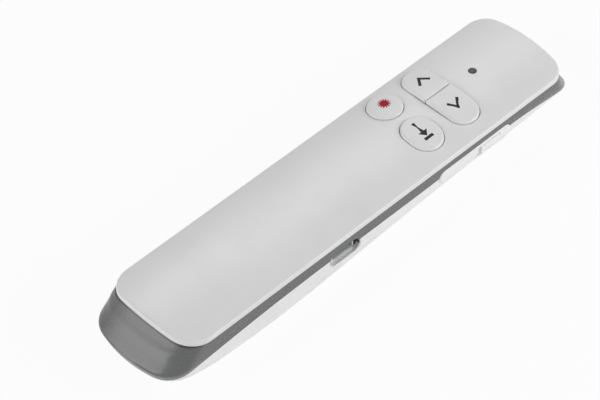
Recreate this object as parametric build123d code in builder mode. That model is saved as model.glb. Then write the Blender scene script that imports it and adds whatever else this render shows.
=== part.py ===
from build123d import *
from math import sqrt
import os

os.makedirs("parts", exist_ok=True)

# Laser pointer for slide shows, in millimetres.
# +X runs from the flared tail to the laser in the nose, +Y to the side without controls, +Z up.
# The origin is the middle of the footprint, on the flat underside.
# Distances along the length are measured from the near end of the top cover, and setbacks from its far end.
# Depths are measured down from the crest of the top cover.

# Case
cover_length = 132.6
cover_half_width = 14.75
body_height = 14.7
crown_height = 1.6
cover_thickness = 1.3
cover_tail_bow = 1.73
cover_nose_bow = 1.32
cover_tail_corner = 7.4
cover_nose_corner = 5.5
cover_edge_bevel = 0.3
tail_flare = 6.9
nose_bulge = 4.0
wall_inset = 0.4
wall_thickness = 1.3
case_play = 0.05

# Skirt under the cover that locates it in the frame
skirt_gap = 0.1
skirt_thickness = 1.0
skirt_depth = 4.0
skirt_end_gap = 0.25

# Keys
key_rise = 0.6
key_edge_bevel = 0.35
key_opening_gap = 0.25
key_centre_y = 0.55
pair_setback = 31.2
pair_width = 9.4
pair_length = 23.7
pair_corner = 3.9
pair_seam_y = 1.35
pair_seam_gap = 0.3
laser_key_setback = 43.9
laser_key_y = 7.7
laser_key_diameter = 9.7
tab_key_setback = 44.0
tab_key_y = -5.3
tab_key_width = 9.6
tab_key_length = 12.0
flange_reach = 0.8
flange_gap = 0.1
flange_thickness = 0.8
flange_end_trim = 1.3
skirt_key_gap = 0.35
key_post_diameter = 3.2
key_travel = 0.35

# Press switches under the keys
switch_size = 5.2
switch_height = 1.8
switch_chamfer = 0.4
plunger_diameter = 2.2
plunger_bore = 2.5
plunger_rise = 0.55
plunger_length = 1.3
plunger_well = 1.4
previous_switch_y = 6.6
next_switch_y = -4.4

# Circuit board
board_tail_x = 36.5
board_setback = 15.6
board_wall_gap = 0.85
board_thickness = 1.0
board_top_depth = 5.65
board_corner = 2.0

# Screws and their posts
screw_tail_x = 39.5
screw_tail_inset = 5.35
screw_setback = 21.0
screw_nose_inset = 7.4
screw_shank = 2.0
screw_hole_play = 0.3
screw_post_play = 0.06
screw_head = 3.6
screw_head_height = 1.3
screw_recess = 4.2
screw_recess_height = 2.6
screw_tip_height = 12.0
screw_cross_length = 2.2
screw_cross_width = 0.5
screw_cross_depth = 0.6
boss_diameter = 5.6
post_diameter = 4.6

# Status lamp
lamp_setback = 19.1
lamp_y = 0.9
lamp_hole = 2.1
lamp_pipe_diameter = 2.0
lamp_pipe_sink = 0.35
lamp_pipe_foot = 3.4
lamp_pipe_foot_height = 0.6
lamp_pipe_gap = 0.1
lamp_length = 2.0
lamp_width = 1.2
lamp_height = 0.9

# USB socket
usb_x = 52.3
usb_depth = 8.0
usb_recess_length = 10.3
usb_recess_height = 4.4
usb_recess_floor = 0.3
usb_window_gap = 0.2
usb_nose_gap = 0.85
usb_width = 7.5
usb_height = 2.5
usb_length = 5.0
usb_corner = 0.8
usb_metal = 0.3
usb_tongue_width = 5.2
usb_tongue_thickness = 0.6
usb_tongue_setback = 0.7
usb_contact_width = 0.35
usb_contact_pitch = 0.65
usb_contact_thickness = 0.12
usb_contact_count = 5

# Power slide switch
land_setback = 34.45
land_depth = 7.5
land_length = 26.5
land_height = 4.8
land_rise = 0.25
slot_height = 2.6
slider_length = 7.0
slider_setback = 25.5
slider_gap = 0.15
slider_travel = 2.0
slider_end_gap = 0.1
slider_rise = 0.15
slider_edge_radius = 0.12
slider_flange_reach = 0.7
slider_flange_gap = 0.1
slider_flange_thickness = 0.55
slider_pocket_reach = 1.0
slide_body_length = 8.4
slide_body_setback = 24.8
slide_body_depth = 3.3
slide_body_height = 2.3
slide_body_front_gap = 0.1
slide_lever_length = 1.4
slide_lever_height = 0.9
slide_lever_inset = 1.8
slide_lever_play = 0.06
slide_channel_play = 0.4
slide_channel_height = 1.2
slide_channel_depth = 2.2

# Battery
battery_tail_x = 5.6
battery_length = 26.0
battery_width = 20.0
battery_thickness = 3.8
battery_edge_radius = 1.2
tape_thickness = 0.4
tape_inset = 2.0
guard_board_thickness = 1.0
guard_board_width = 17.0
guard_board_height = 3.0
lead_diameter = 0.9
lead_spread = 2.2
lead_bend_radius = 1.5

# Receiver and its bay in the underside
bay_x = 19.0
bay_side_gap = 0.4
bay_end_gap = 1.4
bay_top_gap = 0.3
bay_wall = 1.2
bay_corner = 1.6
notch_width = 8.0
notch_length = 4.0
notch_height = 2.6
receiver_sink = 0.3
receiver_cap_length = 7.4
receiver_width = 14.6
receiver_height = 5.4
receiver_corner = 1.2
receiver_edge_bevel = 0.5
plug_length = 12.2
plug_width = 12.0
plug_height = 4.5
plug_metal = 0.35
plug_root = 3.0
plug_window = 2.4
plug_window_setback = 5.0
plug_window_spread = 2.6
plug_tongue_width = 11.0
plug_tongue_thickness = 1.9
plug_tongue_setback = 0.6
plug_contact_width = 1.0
plug_contact_length = 6.4
plug_contact_pitch = 2.3
plug_contact_thickness = 0.12
plug_contact_count = 4

# Laser module
laser_depth = 7.2
barrel_setback = 2.1
barrel_length = 11.6
barrel_diameter = 6.0
barrel_bore = 4.6
barrel_nose_bore = 2.6
barrel_nose_wall = 1.0
barrel_groove_width = 0.8
barrel_groove_depth = 0.35
diode_diameter = 4.5
diode_length = 3.6
diode_can_diameter = 3.4
diode_flange_length = 1.2
lens_diameter = 4.5
lens_thickness = 1.8
lens_bevel = 0.5
laser_board_size = 5.4
laser_board_thickness = 0.9
cradle_step = 2.1
cradle_pitch = 6.0
cradle_thickness = 1.2
cradle_width = 9.0
cradle_play = 0.02
clamp_width = 3.0
bezel_diameter = 4.6
bezel_flange = 5.8
bezel_bore = 3.2
bezel_flange_thickness = 0.5
bezel_seat_inset = 0.7
bezel_play = 0.05
bezel_collar_wall = 0.8
bezel_collar_reach = 1.4
window_thickness = 0.6
window_setback = 0.5

# Chips
radio_size = 5.0
radio_height = 0.9
charger_length = 3.0
charger_width = 1.8
charger_height = 1.1
crystal_length = 3.2
crystal_width = 2.5
crystal_height = 0.7
passive_length = 1.0
passive_width = 0.5
passive_height = 0.45

# Shares
# Ends of the case levels in plan, as shares of the half width.
tail_bow_share = 0.208
nose_bow_share = 0.132
tail_corner_share = 0.536
nose_corner_share = 0.289

# Level outlines of the case, from the top down.
# Each row: depth, tail reach, nose reach, then the half widths at the tail, the middle and the nose,
# then how far the inner wall is raised and how far it is set in, as shares of the wall thickness.
case_level_shares = (
    (0.068, -0.058, 0.9970, 1.000, 1.000, 1.000, 0.00, 1.00),
    (0.204, 0.235, 1.0002, 1.000, 1.000, 1.000, 0.00, 1.00),
    (0.286, 0.440, 1.0038, 1.000, 1.000, 1.000, 0.00, 1.00),
    (0.381, 0.600, 1.0086, 1.000, 1.000, 0.998, 0.00, 1.00),
    (0.476, 0.812, 1.0130, 1.000, 1.000, 0.990, 0.00, 1.00),
    (0.565, 1.000, 1.0190, 1.000, 1.000, 0.974, 0.00, 1.00),
    (0.633, 0.975, 1.0256, 0.986, 1.000, 0.948, 0.10, 1.00),
    (0.701, 0.923, 1.0302, 0.968, 0.989, 0.909, 0.30, 0.95),
    (0.776, 0.840, 1.0060, 0.957, 0.966, 0.838, 0.50, 0.85),
    (0.844, 0.540, 0.9660, 0.952, 0.945, 0.752, 0.70, 0.70),
    (0.905, -0.020, 0.9180, 0.946, 0.920, 0.647, 0.85, 0.50),
    (0.959, -0.460, 0.8710, 0.934, 0.887, 0.533, 0.95, 0.30),
    (1.000, -0.900, 0.8190, 0.918, 0.855, 0.413, 1.00, 0.10),
)

# Parting line between the grey frame and the white bottom shell, seen from the side.
# Each pair: distance along the cover as a share of its length, depth as a share of the height.
parting_shares = (
    (-0.100, 0.775),
    (-0.060, 0.765),
    (-0.023, 0.730),
    (0.016, 0.662),
    (0.035, 0.633),
    (0.072, 0.592),
    (0.110, 0.560),
    (0.180, 0.520),
    (0.256, 0.497),
    (0.400, 0.482),
    (0.600, 0.482),
    (0.790, 0.470),
    (0.860, 0.470),
    (0.915, 0.512),
    (0.940, 0.544),
    (1.003, 0.640),
    (1.045, 0.700),
)

# Chips and small parts on the board: length share and width share of the board, from its middle.
radio_place_share = (-0.047, 0.08)
charger_place_share = (-0.233, 0.33)
crystal_place_share = (-0.134, -0.28)
passive_place_shares = (
    (-0.30, 0.55),
    (-0.26, 0.55),
    (-0.26, -0.30),
    (-0.20, -0.05),
    (-0.12, 0.38),
    (-0.08, 0.38),
    (-0.12, -0.58),
    (0.02, 0.45),
    (0.02, -0.25),
    (0.06, 0.10),
    (0.10, -0.85),
    (0.44, 0.30),
)

# Bends of a battery lead, as shares of its length.
lead_bend_shares = (0.38, 0.62)

# Derived sizes
pair_x = cover_length - pair_setback
laser_key_x = cover_length - laser_key_setback
tab_key_x = cover_length - tab_key_setback
board_nose_x = cover_length - board_setback
screw_nose_x = cover_length - screw_setback
lamp_x = cover_length - lamp_setback
land_x = cover_length - land_setback
slider_nose_x = cover_length - slider_setback
slider_tail_x = slider_nose_x - slider_length
slide_body_nose_x = cover_length - slide_body_setback
slide_body_tail_x = slide_body_nose_x - slide_body_length
barrel_tail_x = cover_length - barrel_setback - barrel_length
cradle_tail_x = barrel_tail_x + cradle_step
wall_half_width = cover_half_width - wall_inset
case_length = tail_flare + cover_length + nose_bulge
side_belly = case_play
crown_radius = (cover_half_width**2 + crown_height**2) / (2 * crown_height)
inner_half_width = wall_half_width - wall_thickness
board_half_width = inner_half_width - board_wall_gap
screw_tail_y = cover_half_width - screw_tail_inset
screw_nose_y = cover_half_width - screw_nose_inset
slot_tail_x = slider_tail_x - slider_travel - slider_end_gap
slot_nose_x = slider_nose_x + slider_end_gap
receiver_length = receiver_cap_length + plug_length
bay_length = receiver_length + 2 * bay_end_gap
bay_width = receiver_width + 2 * bay_side_gap
bay_height = receiver_sink + receiver_height + bay_top_gap


def at_x(distance):
    """Frame X of a distance along the cover."""
    return distance + tail_flare - case_length / 2


def at_z(depth):
    """Frame Z of a depth below the crest."""
    return body_height - depth


def crown_drop(y):
    """How far the crowned cover has fallen at a distance from its middle line."""
    return crown_radius - sqrt(crown_radius**2 - y**2)


def end_points(end_x, sign, half, bow, corner):
    """Apex, tangent point, corner bend and side point of one bowed and rounded end."""
    radius = (half**2 + bow**2) / (2 * bow)
    middle = end_x + sign * radius
    rise = half - corner
    run = sqrt((radius - corner) ** 2 - rise**2)
    corner_x = middle - sign * run
    reach = radius / (radius - corner)
    tangent = (middle - sign * run * reach, rise * reach)
    lean = sqrt((tangent[0] - corner_x) ** 2 + (tangent[1] + corner - rise) ** 2)
    bend_x = corner_x + (tangent[0] - corner_x) * corner / lean
    bend_y = rise + (tangent[1] + corner - rise) * corner / lean
    return ((end_x, 0), tangent, (bend_x, bend_y), (corner_x, half))


def flip(point):
    """The same point on the other side of the middle line."""
    return (point[0], -point[1])


def cover_outline(inset, end_inset):
    """Plan outline of the cover, set in by a margin, as arcs and straight sides."""
    half = cover_half_width - inset
    tail = end_points(at_x(end_inset), 1, half, cover_tail_bow, cover_tail_corner - inset / 4)
    nose_x = at_x(cover_length - end_inset)
    nose = end_points(nose_x, -1, half, cover_nose_bow, cover_nose_corner - inset / 4)
    with BuildLine(mode=Mode.PRIVATE) as line:
        ThreePointArc(flip(tail[1]), tail[0], tail[1])
        ThreePointArc(tail[1], tail[2], tail[3])
        Line(tail[3], nose[3])
        ThreePointArc(nose[3], nose[2], nose[1])
        ThreePointArc(nose[1], nose[0], flip(nose[1]))
        ThreePointArc(flip(nose[1]), flip(nose[2]), flip(nose[3]))
        Line(flip(nose[3]), flip(tail[3]))
        ThreePointArc(flip(tail[3]), flip(tail[2]), flip(tail[1]))
    return line.line


def case_outline(tail_x, nose_x, tail_half, middle_half, nose_half):
    """Plan outline of one level of the case: two bowed ends, four corners and two bellied sides."""
    tail = end_points(tail_x, 1, tail_half, tail_half * tail_bow_share, tail_half * tail_corner_share)
    nose = end_points(nose_x, -1, nose_half, nose_half * nose_bow_share, nose_half * nose_corner_share)
    middle_x = (tail[3][0] + nose[3][0]) / 2
    belly = middle_half + side_belly
    with BuildLine(mode=Mode.PRIVATE) as line:
        ThreePointArc(flip(tail[1]), tail[0], tail[1])
        ThreePointArc(tail[1], tail[2], tail[3])
        ThreePointArc(tail[3], (middle_x, belly), nose[3])
        ThreePointArc(nose[3], nose[2], nose[1])
        ThreePointArc(nose[1], nose[0], flip(nose[1]))
        ThreePointArc(flip(nose[1]), flip(nose[2]), flip(nose[3]))
        ThreePointArc(flip(nose[3]), (middle_x, -belly), flip(tail[3]))
        ThreePointArc(flip(tail[3]), flip(tail[2]), flip(tail[1]))
    return line.line


def case_loft(wall):
    """Solid through all level outlines; a wall above zero gives the hollow inside."""
    with BuildPart() as solid:
        for depth, tail, nose, half_a, half_b, half_c, raised, set_in in case_level_shares:
            inset = wall * set_in
            height = at_z(depth * body_height) + wall * raised
            halves = [wall_half_width * share - inset for share in (half_a, half_b, half_c)]
            tail_x = at_x(inset - tail * tail_flare)
            nose_x = at_x(nose * cover_length - inset)
            with BuildSketch(Plane.XY.offset(height)):
                with BuildLine():
                    add(case_outline(tail_x, nose_x, *halves))
                make_face()
        loft(ruled=True)
    return solid.part


def on_board(place_share):
    """Point on the board, as shares of its length and of its half width."""
    middle = at_x((board_tail_x + board_nose_x) / 2)
    reach = board_nose_x - board_tail_x
    return (middle + place_share[0] * reach, place_share[1] * board_half_width)


def crown_slab(top_depth, bottom_depth):
    """Long slab between two arcs that run parallel to the crown of the cover."""
    reach = cover_half_width + cover_thickness
    fall = crown_drop(reach)
    with BuildPart() as slab:
        with BuildSketch(Plane.YZ):
            with BuildLine():
                high = at_z(top_depth)
                low = at_z(bottom_depth)
                ThreePointArc((-reach, high - fall), (0, high), (reach, high - fall))
                Line((reach, high - fall), (reach, low - fall))
                ThreePointArc((reach, low - fall), (0, low), (-reach, low - fall))
                Line((-reach, low - fall), (-reach, high - fall))
            make_face()
        extrude(amount=case_length, both=True)
    return slab.part


def below_parting(play):
    """Everything under the parting line, raised or lowered by a play."""
    points = [
        (at_x(x_share * cover_length), at_z(z_share * body_height) - play)
        for x_share, z_share in parting_shares
    ]
    first = points[0]
    last = points[-1]
    with BuildPart() as region:
        with BuildSketch(Plane.XZ):
            with BuildLine():
                Spline(*points)
                Line(last, (last[0], -body_height))
                Line((last[0], -body_height), (first[0], -body_height))
                Line((first[0], -body_height), first)
            make_face()
        extrude(amount=2 * cover_half_width, both=True)
    return region.part


def save(part, label):
    """Label one node and write its file."""
    part.label = label
    export_step(part, "parts/" + label + ".step")


outer_body = case_loft(0)
inner_body = case_loft(wall_thickness)
lower_region = below_parting(0)
board_top = at_z(board_top_depth)
board_bottom = board_top - board_thickness
land_plane = Plane.XZ.offset(wall_half_width + land_rise)
land_place = (at_x(land_x), at_z(land_depth))
slot_place = (at_x((slot_tail_x + slot_nose_x) / 2), at_z(land_depth))
slot_length = slot_nose_x - slot_tail_x
usb_place = (at_x(usb_x), at_z(usb_depth))
screw_places = [
    (at_x(screw_tail_x), screw_tail_y),
    (at_x(screw_tail_x), -screw_tail_y),
    (at_x(screw_nose_x), screw_nose_y),
    (at_x(screw_nose_x), -screw_nose_y),
]
laser_z = at_z(laser_depth)
cradle_places = [at_x(cradle_tail_x), at_x(cradle_tail_x + cradle_pitch)]
bezel_plane = Plane.YZ.offset(at_x(cover_length - cradle_pitch))
bezel_back = at_x(cover_length - bezel_seat_inset)
seat_plane = Plane.YZ.offset(bezel_back + bezel_play)
window_length = usb_width + usb_window_gap + usb_nose_gap
window_place = (usb_place[0] + (usb_nose_gap - usb_window_gap) / 2, usb_place[1])


def pair_sketch(gap):
    """Shared outline of the previous and next keys, grown by a gap."""
    with BuildSketch(mode=Mode.PRIVATE) as sketch:
        with Locations((at_x(pair_x), key_centre_y)):
            RectangleRounded(pair_width + 2 * gap, pair_length + 2 * gap, pair_corner + gap)
    return sketch.sketch


def laser_key_sketch(gap):
    """Round outline of the laser key, grown by a gap."""
    with BuildSketch(mode=Mode.PRIVATE) as sketch:
        with Locations((at_x(laser_key_x), laser_key_y)):
            Circle(laser_key_diameter / 2 + gap)
    return sketch.sketch


def tab_key_sketch(gap):
    """Oval outline of the tab key, grown by a gap."""
    with BuildSketch(mode=Mode.PRIVATE) as sketch:
        with Locations((at_x(tab_key_x), tab_key_y)):
            SlotOverall(tab_key_length + 2 * gap, tab_key_width + 2 * gap, rotation=90)
    return sketch.sketch


# Top cover: a crowned sheet with a skirt, screw posts and clamps for the laser barrel
skirt_inset = wall_inset + wall_thickness + skirt_gap
with BuildPart() as skirt:
    with BuildSketch(Plane.XY.offset(at_z(skirt_depth))):
        with BuildLine():
            add(cover_outline(skirt_inset, skirt_inset + skirt_end_gap))
        make_face()
        with BuildLine():
            add(cover_outline(skirt_inset + skirt_thickness, skirt_inset + skirt_end_gap + skirt_thickness))
        make_face(mode=Mode.SUBTRACT)
    extrude(amount=skirt_depth)
    for clear_sketch in (pair_sketch, laser_key_sketch, tab_key_sketch):
        with BuildSketch(Plane.XY):
            add(clear_sketch(skirt_key_gap))
        extrude(amount=2 * body_height, mode=Mode.SUBTRACT)
with BuildPart() as cover_posts:
    with BuildSketch(Plane.XY.offset(board_top)):
        with Locations(*screw_places):
            Circle(post_diameter / 2)
    extrude(amount=body_height - board_top)
    with BuildSketch(Plane.XY.offset(laser_z + barrel_diameter / 2 + cradle_play)):
        with Locations(*[(place, 0) for place in cradle_places]):
            Rectangle(cradle_thickness, clamp_width)
    extrude(amount=body_height - laser_z - barrel_diameter / 2)
with BuildPart() as top_cover:
    with BuildSketch():
        with BuildLine():
            add(cover_outline(0, 0))
        make_face()
    extrude(amount=2 * body_height)
    add(crown_slab(0, cover_thickness), mode=Mode.INTERSECT)
    crest = top_cover.faces().sort_by(Axis.Z)[-1]
    chamfer(crest.edges(), length=cover_edge_bevel)
    underside = crown_slab(cover_thickness / 2, 2 * body_height)
    add(skirt.part & underside)
    add(cover_posts.part & underside)
    for opening_sketch in (pair_sketch, laser_key_sketch, tab_key_sketch):
        with BuildSketch(Plane.XY.offset(at_z(skirt_depth))):
            add(opening_sketch(key_opening_gap))
        extrude(amount=2 * body_height, mode=Mode.SUBTRACT)
    with BuildSketch(Plane.XY.offset(board_top)):
        with Locations((at_x(lamp_x), lamp_y)):
            Circle(lamp_hole / 2)
    extrude(amount=body_height, mode=Mode.SUBTRACT)
    with BuildSketch(Plane.XY):
        with Locations(*screw_places):
            Circle(screw_shank / 2 + screw_post_play)
    extrude(amount=screw_tip_height, mode=Mode.SUBTRACT)
save(top_cover.part, "top_cover")

# Collar inside the nose wall that the ring of the laser opening seats in
with BuildPart() as nose_collar:
    with BuildSketch(Plane.YZ.offset(bezel_back - bezel_collar_reach)):
        with Locations((0, laser_z)):
            Circle(bezel_flange / 2 + bezel_play + bezel_collar_wall)
    extrude(amount=2 * cradle_pitch)
    add(outer_body, mode=Mode.INTERSECT)

# Grey frame: the flared band between the cover and the bottom shell
with BuildPart() as mid_frame:
    add(outer_body)
    add(inner_body - nose_collar.part, mode=Mode.SUBTRACT)
    add(lower_region, mode=Mode.SUBTRACT)
    add(crown_slab(cover_thickness, 2 * body_height), mode=Mode.INTERSECT)
    with BuildSketch(land_plane):
        with Locations(land_place):
            SlotOverall(land_length + 2 * case_play, land_height + 2 * case_play)
    extrude(amount=-3 * wall_thickness, mode=Mode.SUBTRACT)
    with BuildSketch(land_plane):
        with Locations(usb_place):
            SlotOverall(usb_recess_length, usb_recess_height)
    extrude(amount=usb_recess_floor - wall_thickness - land_rise, mode=Mode.SUBTRACT)
    with BuildSketch(land_plane):
        with Locations(window_place):
            Rectangle(window_length, usb_height + 2 * usb_window_gap)
    extrude(amount=-3 * wall_thickness, mode=Mode.SUBTRACT)
    with BuildSketch(bezel_plane):
        with Locations((0, laser_z)):
            Circle(bezel_diameter / 2 + bezel_play)
    extrude(amount=2 * cradle_pitch, mode=Mode.SUBTRACT)
    with BuildSketch(seat_plane):
        with Locations((0, laser_z)):
            Circle(bezel_flange / 2 + bezel_play)
    extrude(amount=-cradle_pitch, mode=Mode.SUBTRACT)
save(mid_frame.part, "mid_frame")

# Columns inside the bottom shell: screw bosses, barrel cradles and the receiver bay
with BuildPart() as supports:
    with BuildSketch(Plane.XY):
        with Locations(*screw_places):
            Circle(boss_diameter / 2)
    extrude(amount=board_bottom)
    with BuildSketch(Plane.XY):
        with Locations(*[(place, 0) for place in cradle_places]):
            Rectangle(cradle_thickness, cradle_width)
    extrude(amount=laser_z)
    with BuildSketch(Plane.XY):
        with Locations((at_x(bay_x), 0)):
            RectangleRounded(bay_length + 2 * bay_wall, bay_width + 2 * bay_wall, bay_corner + bay_wall)
    extrude(amount=bay_height + bay_wall)

# Bottom shell: the white hull with the switch land, USB recess, receiver bay and screw recesses
hollow = inner_body - supports.part - (nose_collar.part & lower_region)
with BuildPart() as bottom_shell:
    add(outer_body)
    add(lower_region + supports.part, mode=Mode.INTERSECT)
    add(hollow, mode=Mode.SUBTRACT)
    with BuildSketch(land_plane):
        with Locations(land_place):
            SlotOverall(land_length, land_height)
    extrude(amount=-wall_thickness - land_rise)
    with BuildSketch(land_plane):
        with Locations(slot_place):
            Rectangle(slot_length, slot_height)
    extrude(amount=-3 * wall_thickness, mode=Mode.SUBTRACT)
    with BuildSketch(Plane.XZ.offset(inner_half_width)):
        with Locations(slot_place):
            Rectangle(slot_length + 2 * slider_pocket_reach, slot_height + 2 * slider_pocket_reach)
    extrude(amount=-3 * slider_flange_thickness, mode=Mode.SUBTRACT)
    with BuildSketch(land_plane):
        with Locations(usb_place):
            SlotOverall(usb_recess_length, usb_recess_height)
    extrude(amount=usb_recess_floor - wall_thickness - land_rise, mode=Mode.SUBTRACT)
    with BuildSketch(land_plane):
        with Locations(window_place):
            Rectangle(window_length, usb_height + 2 * usb_window_gap)
    extrude(amount=-3 * wall_thickness, mode=Mode.SUBTRACT)
    with BuildSketch(Plane.XY):
        with Locations((at_x(bay_x), 0)):
            RectangleRounded(bay_length, bay_width, bay_corner)
    extrude(amount=bay_height, mode=Mode.SUBTRACT)
    with BuildSketch(Plane.XY):
        with Locations((at_x(bay_x - bay_length / 2), 0)):
            SlotOverall(notch_width, notch_length, rotation=90)
    extrude(amount=notch_height, mode=Mode.SUBTRACT)
    with BuildSketch(Plane.XY):
        with Locations(*screw_places):
            Circle((screw_shank + screw_hole_play) / 2)
    extrude(amount=body_height, mode=Mode.SUBTRACT)
    with BuildSketch(Plane.XY):
        with Locations(*screw_places):
            Circle(screw_recess / 2)
    extrude(amount=screw_recess_height, mode=Mode.SUBTRACT)
    with BuildSketch(Plane.YZ.offset(cradle_places[0] - cradle_pitch / 2)):
        with Locations((0, laser_z)):
            Circle(barrel_diameter / 2 + cradle_play)
    extrude(amount=2 * cradle_pitch, mode=Mode.SUBTRACT)
    with BuildSketch(bezel_plane):
        with Locations((0, laser_z)):
            Circle(bezel_diameter / 2 + bezel_play)
    extrude(amount=2 * cradle_pitch, mode=Mode.SUBTRACT)
    with BuildSketch(seat_plane):
        with Locations((0, laser_z)):
            Circle(bezel_flange / 2 + bezel_play)
    extrude(amount=-cradle_pitch, mode=Mode.SUBTRACT)
save(bottom_shell.part, "bottom_shell")


def key_flange(flange_x, width, low_y, high_y):
    """Flange that keeps a key from rising out of its opening."""
    top = cover_thickness + flange_gap
    with BuildPart() as flange:
        with BuildSketch():
            with Locations((at_x(flange_x), (low_y + high_y) / 2)):
                Rectangle(width, high_y - low_y)
        extrude(amount=2 * body_height)
        add(crown_slab(top, top + flange_thickness), mode=Mode.INTERSECT)
    return flange.part


def key_post(post_x, post_y):
    """Post under a key that meets the plunger of its switch."""
    with BuildPart() as post:
        with BuildSketch(Plane.XY.offset(board_top + switch_height + plunger_rise)):
            with Locations((at_x(post_x), post_y)):
                Circle(key_post_diameter / 2)
        extrude(amount=body_height)
        add(crown_slab(cover_thickness, 2 * body_height), mode=Mode.INTERSECT)
    return post.part


def key_cap(outline, flange, post):
    """Key with a raised crowned top, joined to its flange and its post."""
    with BuildPart() as key:
        with BuildSketch():
            add(outline)
        extrude(amount=2 * body_height)
        add(crown_slab(-key_rise, cover_thickness + flange_gap + flange_thickness), mode=Mode.INTERSECT)
        crest = key.faces().sort_by(Axis.Z)[-1]
        chamfer(crest.edges(), length=key_edge_bevel)
        add(flange)
        add(post)
    return key.part


pair_low_y = key_centre_y - pair_length / 2
pair_high_y = key_centre_y + pair_length / 2
with BuildSketch() as previous_outline:
    add(pair_sketch(0))
    with Locations((at_x(pair_x), pair_seam_y + (pair_seam_gap + pair_length) / 2)):
        Rectangle(2 * pair_width, pair_length, mode=Mode.INTERSECT)
with BuildSketch() as next_outline:
    add(pair_sketch(0))
    with Locations((at_x(pair_x), pair_seam_y - (pair_seam_gap + pair_length) / 2)):
        Rectangle(2 * pair_width, pair_length, mode=Mode.INTERSECT)
seam_high = pair_seam_y + pair_seam_gap / 2
seam_low = pair_seam_y - pair_seam_gap / 2
pair_flange = pair_width + 2 * flange_reach
laser_reach = laser_key_diameter / 2 - flange_end_trim
tab_reach = tab_key_length / 2 - flange_end_trim
previous_key = key_cap(
    previous_outline.sketch,
    key_flange(pair_x, pair_flange, seam_high, pair_high_y - flange_end_trim),
    key_post(pair_x, previous_switch_y),
)
next_key = key_cap(
    next_outline.sketch,
    key_flange(pair_x, pair_flange, pair_low_y + flange_end_trim, seam_low),
    key_post(pair_x, next_switch_y),
)
laser_key = key_cap(
    laser_key_sketch(0),
    key_flange(
        laser_key_x,
        laser_key_diameter + 2 * flange_reach,
        laser_key_y - laser_reach,
        laser_key_y + laser_reach,
    ),
    key_post(laser_key_x, laser_key_y),
)
tab_key = key_cap(
    tab_key_sketch(0),
    key_flange(
        tab_key_x,
        tab_key_width + 2 * flange_reach,
        tab_key_y - tab_reach,
        tab_key_y + tab_reach,
    ),
    key_post(tab_key_x, tab_key_y),
)
save(previous_key, "previous_key")
save(next_key, "next_key")
save(laser_key, "laser_key")
save(tab_key, "tab_key")

switch_places = {
    "previous": (at_x(pair_x), previous_switch_y),
    "next": (at_x(pair_x), next_switch_y),
    "laser": (at_x(laser_key_x), laser_key_y),
    "tab": (at_x(tab_key_x), tab_key_y),
}

# Bodies of the four press switches
with BuildPart() as press_switch_bodies:
    with BuildSketch(Plane.XY.offset(board_top)):
        with Locations(*switch_places.values()):
            Rectangle(switch_size, switch_size)
    extrude(amount=switch_height)
    chamfer(press_switch_bodies.edges().filter_by(Axis.Z), length=switch_chamfer)
    with BuildSketch(Plane.XY.offset(board_top + switch_height)):
        with Locations(*switch_places.values()):
            Circle(plunger_bore / 2)
    extrude(amount=-plunger_well, mode=Mode.SUBTRACT)
save(press_switch_bodies.part, "press_switch_bodies")

# Plungers of the press switches, one under each key post
plunger_top = board_top + switch_height + plunger_rise
for switch_name, switch_place in switch_places.items():
    with BuildPart() as plunger:
        with BuildSketch(Plane.XY.offset(plunger_top - plunger_length)):
            with Locations(switch_place):
                Circle(plunger_diameter / 2)
        extrude(amount=plunger_length)
    save(plunger.part, switch_name + "_plunger")

# Main circuit board
with BuildPart() as main_board:
    with BuildSketch(Plane.XY.offset(board_bottom)):
        with Locations((at_x((board_tail_x + board_nose_x) / 2), 0)):
            RectangleRounded(board_nose_x - board_tail_x, 2 * board_half_width, board_corner)
        with Locations(*screw_places):
            Circle((screw_shank + screw_hole_play) / 2, mode=Mode.SUBTRACT)
    extrude(amount=board_thickness)
save(main_board.part, "main_board")

# Radio chip
with BuildPart() as radio_chip:
    with BuildSketch(Plane.XY.offset(board_top)):
        with Locations(on_board(radio_place_share)):
            Rectangle(radio_size, radio_size)
    extrude(amount=radio_height)
save(radio_chip.part, "radio_chip")

# Battery charging chip
with BuildPart() as charge_chip:
    with BuildSketch(Plane.XY.offset(board_top)):
        with Locations(on_board(charger_place_share)):
            Rectangle(charger_length, charger_width)
    extrude(amount=charger_height)
save(charge_chip.part, "charge_chip")

# Crystal of the radio
with BuildPart() as crystal:
    with BuildSketch(Plane.XY.offset(board_top)):
        with Locations(on_board(crystal_place_share)):
            RectangleRounded(crystal_length, crystal_width, passive_width)
    extrude(amount=crystal_height)
save(crystal.part, "crystal")

# Resistors and capacitors
with BuildPart() as chip_parts:
    with BuildSketch(Plane.XY.offset(board_top)):
        with Locations(*[on_board(place_share) for place_share in passive_place_shares]):
            Rectangle(passive_length, passive_width)
    extrude(amount=passive_height)
save(chip_parts.part, "chip_parts")

# Status lamp on the board
with BuildPart() as status_lamp:
    with BuildSketch(Plane.XY.offset(board_top)):
        with Locations((at_x(lamp_x), lamp_y)):
            Rectangle(lamp_length, lamp_width)
    extrude(amount=lamp_height)
save(status_lamp.part, "status_lamp")

# Dark light pipe between the lamp and the hole in the cover
pipe_top = at_z(lamp_pipe_sink)
foot_top = at_z(cover_thickness + lamp_pipe_gap)
with BuildPart() as light_pipe:
    with BuildSketch(Plane.XY.offset(board_top + lamp_height)):
        with Locations((at_x(lamp_x), lamp_y)):
            Circle(lamp_pipe_diameter / 2)
    extrude(amount=pipe_top - board_top - lamp_height)
    with BuildSketch(Plane.XY.offset(foot_top - lamp_pipe_foot_height)):
        with Locations((at_x(lamp_x), lamp_y)):
            Circle(lamp_pipe_foot / 2)
    extrude(amount=lamp_pipe_foot_height)
save(light_pipe.part, "light_pipe")

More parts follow.
